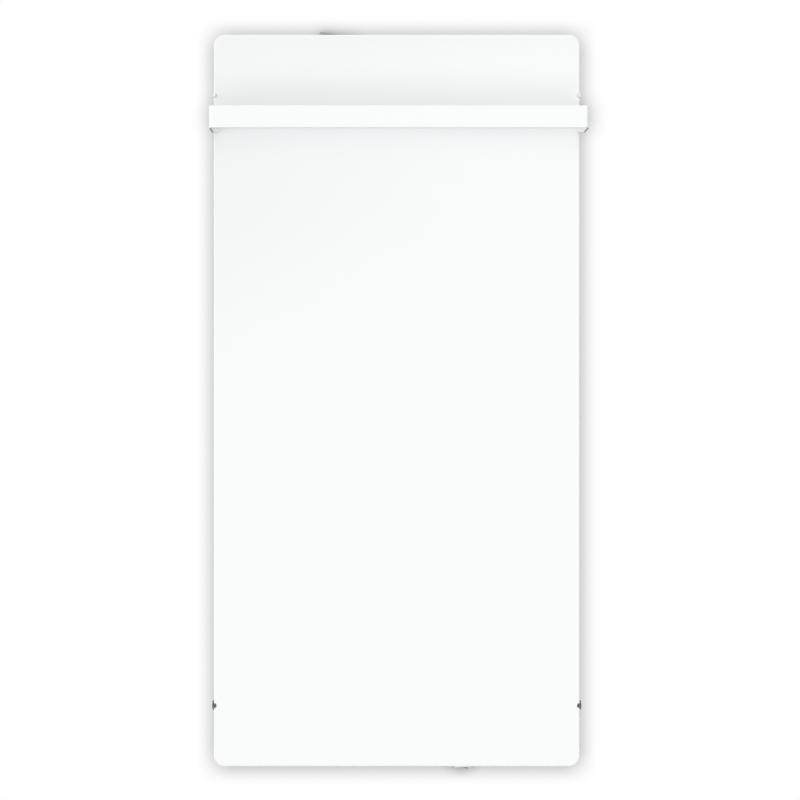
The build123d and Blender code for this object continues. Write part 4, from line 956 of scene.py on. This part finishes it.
def ribbed_nut(name, node):
    """A bored dome nut in place of a CAD nut that points along -X."""
    low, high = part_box(node)
    middle = (low + high) / 2
    shape = bmesh.new()
    loops = []
    for out, radius, hexagon, rib in nut_outside + nut_inside:
        loop = []
        for step in range(nut_points):
            angle = full_turn * step / nut_points
            from_flat = (angle + flat_turn / 2) % flat_turn - flat_turn / 2
            flat = min(radius / math.cos(from_flat), nut_corner)
            reach = radius * (1 - hexagon) + flat * hexagon
            reach -= rib * (0.5 - 0.5 * math.cos(nut_ribs * angle))
            across = middle.y + reach * MM * math.cos(angle)
            upright = middle.z + reach * MM * math.sin(angle)
            loop.append(shape.verts.new((high.x - out * MM, across, upright)))
        loops.append(loop)
    for first, second in zip(loops, loops[1:] + loops[:1]):
        skin_between(shape, first, second)
    mesh = finished_mesh(shape, name, nut_sharp_turn)
    mesh.materials.append(black_nylon)
    nut = bpy.data.objects.new(name, mesh)
    bpy.context.scene.collection.objects.link(nut)
    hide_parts(node)
    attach(nut, "radiator")


ribbed_nut("gland_dome_nut", "gland_nut")


# Rocker switch
# A snap-in switch in the nose of the housing. The frame is white and the rocker grey
# glass-filled nylon, with a bar and a ring printed on it for on and off.
mark_from_middle = 4.6 * MM
bar_half_width = 0.45 * MM
bar_half_length = 2.6 * MM
ring_inside = 1.5 * MM
ring_outside = 2.2 * MM
mark_white = (0.85, 0.85, 0.84, 1.0)
rocker_grey = (0.22, 0.22, 0.225, 1.0)
switch_grain = 0.3

rocker_low, rocker_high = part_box("rocker")
rocker_middle = (rocker_low + rocker_high) / 2
rocker_finish, tree, shader = surface("rocker_grey")
place = axes_of(tree, "Object")
along = maths(tree, "SUBTRACT", place["X"], rocker_middle.x)
across = maths(tree, "SUBTRACT", place["Y"], rocker_middle.y)
from_bar = maths(tree, "ABSOLUTE", maths(tree, "SUBTRACT", along, mark_from_middle))
bar_along = maths(tree, "LESS_THAN", from_bar, bar_half_width)
bar_across = maths(tree, "LESS_THAN", maths(tree, "ABSOLUTE", across), bar_half_length)
in_bar = maths(tree, "MULTIPLY", bar_along, bar_across)
ring_along = maths(tree, "ADD", along, mark_from_middle)
along_squared = maths(tree, "POWER", ring_along, 2.0)
across_squared = maths(tree, "POWER", across, 2.0)
from_ring = maths(tree, "SQRT", maths(tree, "ADD", along_squared, across_squared))
past_inside = maths(tree, "GREATER_THAN", from_ring, ring_inside)
short_of_outside = maths(tree, "LESS_THAN", from_ring, ring_outside)
in_ring = maths(tree, "MULTIPLY", past_inside, short_of_outside)
on_face = maths(tree, "LESS_THAN", axes_of(tree, "Normal")["Z"], -square_on)
marked = maths(tree, "MULTIPLY", maths(tree, "MAXIMUM", in_bar, in_ring), on_face)
tree.links.new(blend_colour(tree, marked, rocker_grey, mark_white), shader.inputs["Base Color"])
grained(tree, shader, roughness=0.25, grain=switch_grain, strength=0.15)
assign(["rocker"], rocker_finish)
switch_white = moulded("switch_white", nylon_white, roughness=0.38, grain=switch_grain)
assign(["switch_frame"], switch_white)


# Control board
# A fibreglass board with a green solder mask over its tracks, two sleeved capacitors, and
# the solder joints of its parts on the room side.
mask_green = (0.02, 0.16, 0.07, 1.0)
track_green = (0.04, 0.26, 0.10, 1.0)
laminate_tan = (0.50, 0.44, 0.24, 1.0)
laminate_roughness = 0.75
mask_roughness = 0.30
board_track_pitch = 2.2 * MM
board_track_share = 0.45
track_swing = 9.0
track_bends_per_metre = 60.0
track_relief = (0.6, 0.04 * MM)
sleeve_black = (0.03, 0.03, 0.035, 1.0)
can_grey = (0.72, 0.73, 0.74, 1.0)
sleeve_roughness = 0.38
can_roughness = 0.28
stripe_edge = 0.93
capacitor_legs = (0.35, 0.65)

# Rings of a joint as (height over the board, radius) in mm, with the first sunk into it
joint_rings = ((-0.1, 0.95), (0.12, 0.85), (0.4, 0.5), (0.6, 0.38), (0.95, 0.28))

# Pins of each part, as shares of its width and of its height
pin_places = {
    "relay": ((0.14, 0.1), (0.86, 0.1), (0.14, 0.5), (0.14, 0.9), (0.86, 0.9)),
    "power_module": ((0.1, 0.12), (0.9, 0.12), (0.15, 0.88), (0.38, 0.88), (0.62, 0.88), (0.85, 0.88)),
    "board_connector": ((0.14, 0.5), (0.38, 0.5), (0.62, 0.5), (0.86, 0.5)),
}

board_finish, tree, shader = surface("solder_mask")
bends = noise(tree, track_bends_per_metre, detail=1.0)
swing = maths(tree, "MULTIPLY", bends, track_swing)
across = axes_of(tree, "Object")["X"]
lanes = maths(tree, "MULTIPLY_ADD", across, 1 / board_track_pitch, swing)
in_track = maths(tree, "LESS_THAN", maths(tree, "FRACT", lanes), board_track_share)
flatness = maths(tree, "ABSOLUTE", axes_of(tree, "Normal")["Y"])
on_face = maths(tree, "GREATER_THAN", flatness, square_on)
masked = blend_colour(tree, in_track, mask_green, track_green)
tree.links.new(blend_colour(tree, on_face, laminate_tan, masked), shader.inputs["Base Color"])
board_roughness = spread_over(tree, on_face, laminate_roughness, mask_roughness)
tree.links.new(board_roughness, shader.inputs["Roughness"])
bump_into(tree, shader, in_track, track_relief)
assign(["control_board"], board_finish)

can_finish, tree, shader = surface("capacitor")
facing = axes_of(tree, "Normal")
on_top = maths(tree, "GREATER_THAN", facing["Y"], square_on)
on_stripe = maths(tree, "GREATER_THAN", facing["X"], stripe_edge)
pale = maths(tree, "MAXIMUM", on_top, on_stripe)
tree.links.new(blend_colour(tree, pale, sleeve_black, can_grey), shader.inputs["Base Color"])
tree.links.new(on_top, shader.inputs["Metallic"])
capacitor_roughness = spread_over(tree, on_top, sleeve_roughness, can_roughness)
tree.links.new(capacitor_roughness, shader.inputs["Roughness"])
assign(["board_capacitors"], can_finish)

joint_shape = turned_shape("solder_joint", [(out * MM, radius * MM, 0) for out, radius in joint_rings])
board_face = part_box("control_board")[0].y
joints = []
for node, pins in pin_places.items():
    low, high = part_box(node)
    for across, upright in pins:
        spot = (low.x + across * (high.x - low.x), board_face, low.z + upright * (high.z - low.z))
        joints.append(Vector(spot))
for low, high in solids_of("board_capacitors"):
    for across in capacitor_legs:
        spot = (low.x + across * (high.x - low.x), board_face, (low.z + high.z) / 2)
        joints.append(Vector(spot))
solder_joints = placed("solder_joints", joint_shape, joints, [to_room(spot) for spot in joints])
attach(solder_joints, "radiator")


# Leads
# Stranded wire in silicone covers inside the tray and the housing: brown for live, blue for
# neutral, and green with a yellow stripe for earth.
lead_brown = (0.16, 0.07, 0.035, 1.0)
lead_blue = (0.03, 0.12, 0.45, 1.0)
lead_green = (0.05, 0.28, 0.06, 1.0)
lead_yellow = (0.85, 0.70, 0.05, 1.0)
cover_roughness = 0.45
cover_grain = 0.5
stripe_from = 0.4

brown_cover = moulded("brown_cover", lead_brown, cover_roughness, cover_grain)
blue_cover = moulded("blue_cover", lead_blue, cover_roughness, cover_grain)
assign(["live_lead_lower", "live_lead_upper", "live_lead_tap"], brown_cover)
assign(["neutral_lead"], blue_cover)

earth_finish, tree, shader = surface("earth_cover")
facing = axes_of(tree, "Normal")
up_and_right = maths(tree, "ADD", facing["X"], facing["Z"])
stripe = maths(tree, "GREATER_THAN", up_and_right, stripe_from)
tree.links.new(blend_colour(tree, stripe, lead_green, lead_yellow), shader.inputs["Base Color"])
shader.inputs["Roughness"].default_value = cover_roughness
assign(["earth_lead"], earth_finish)
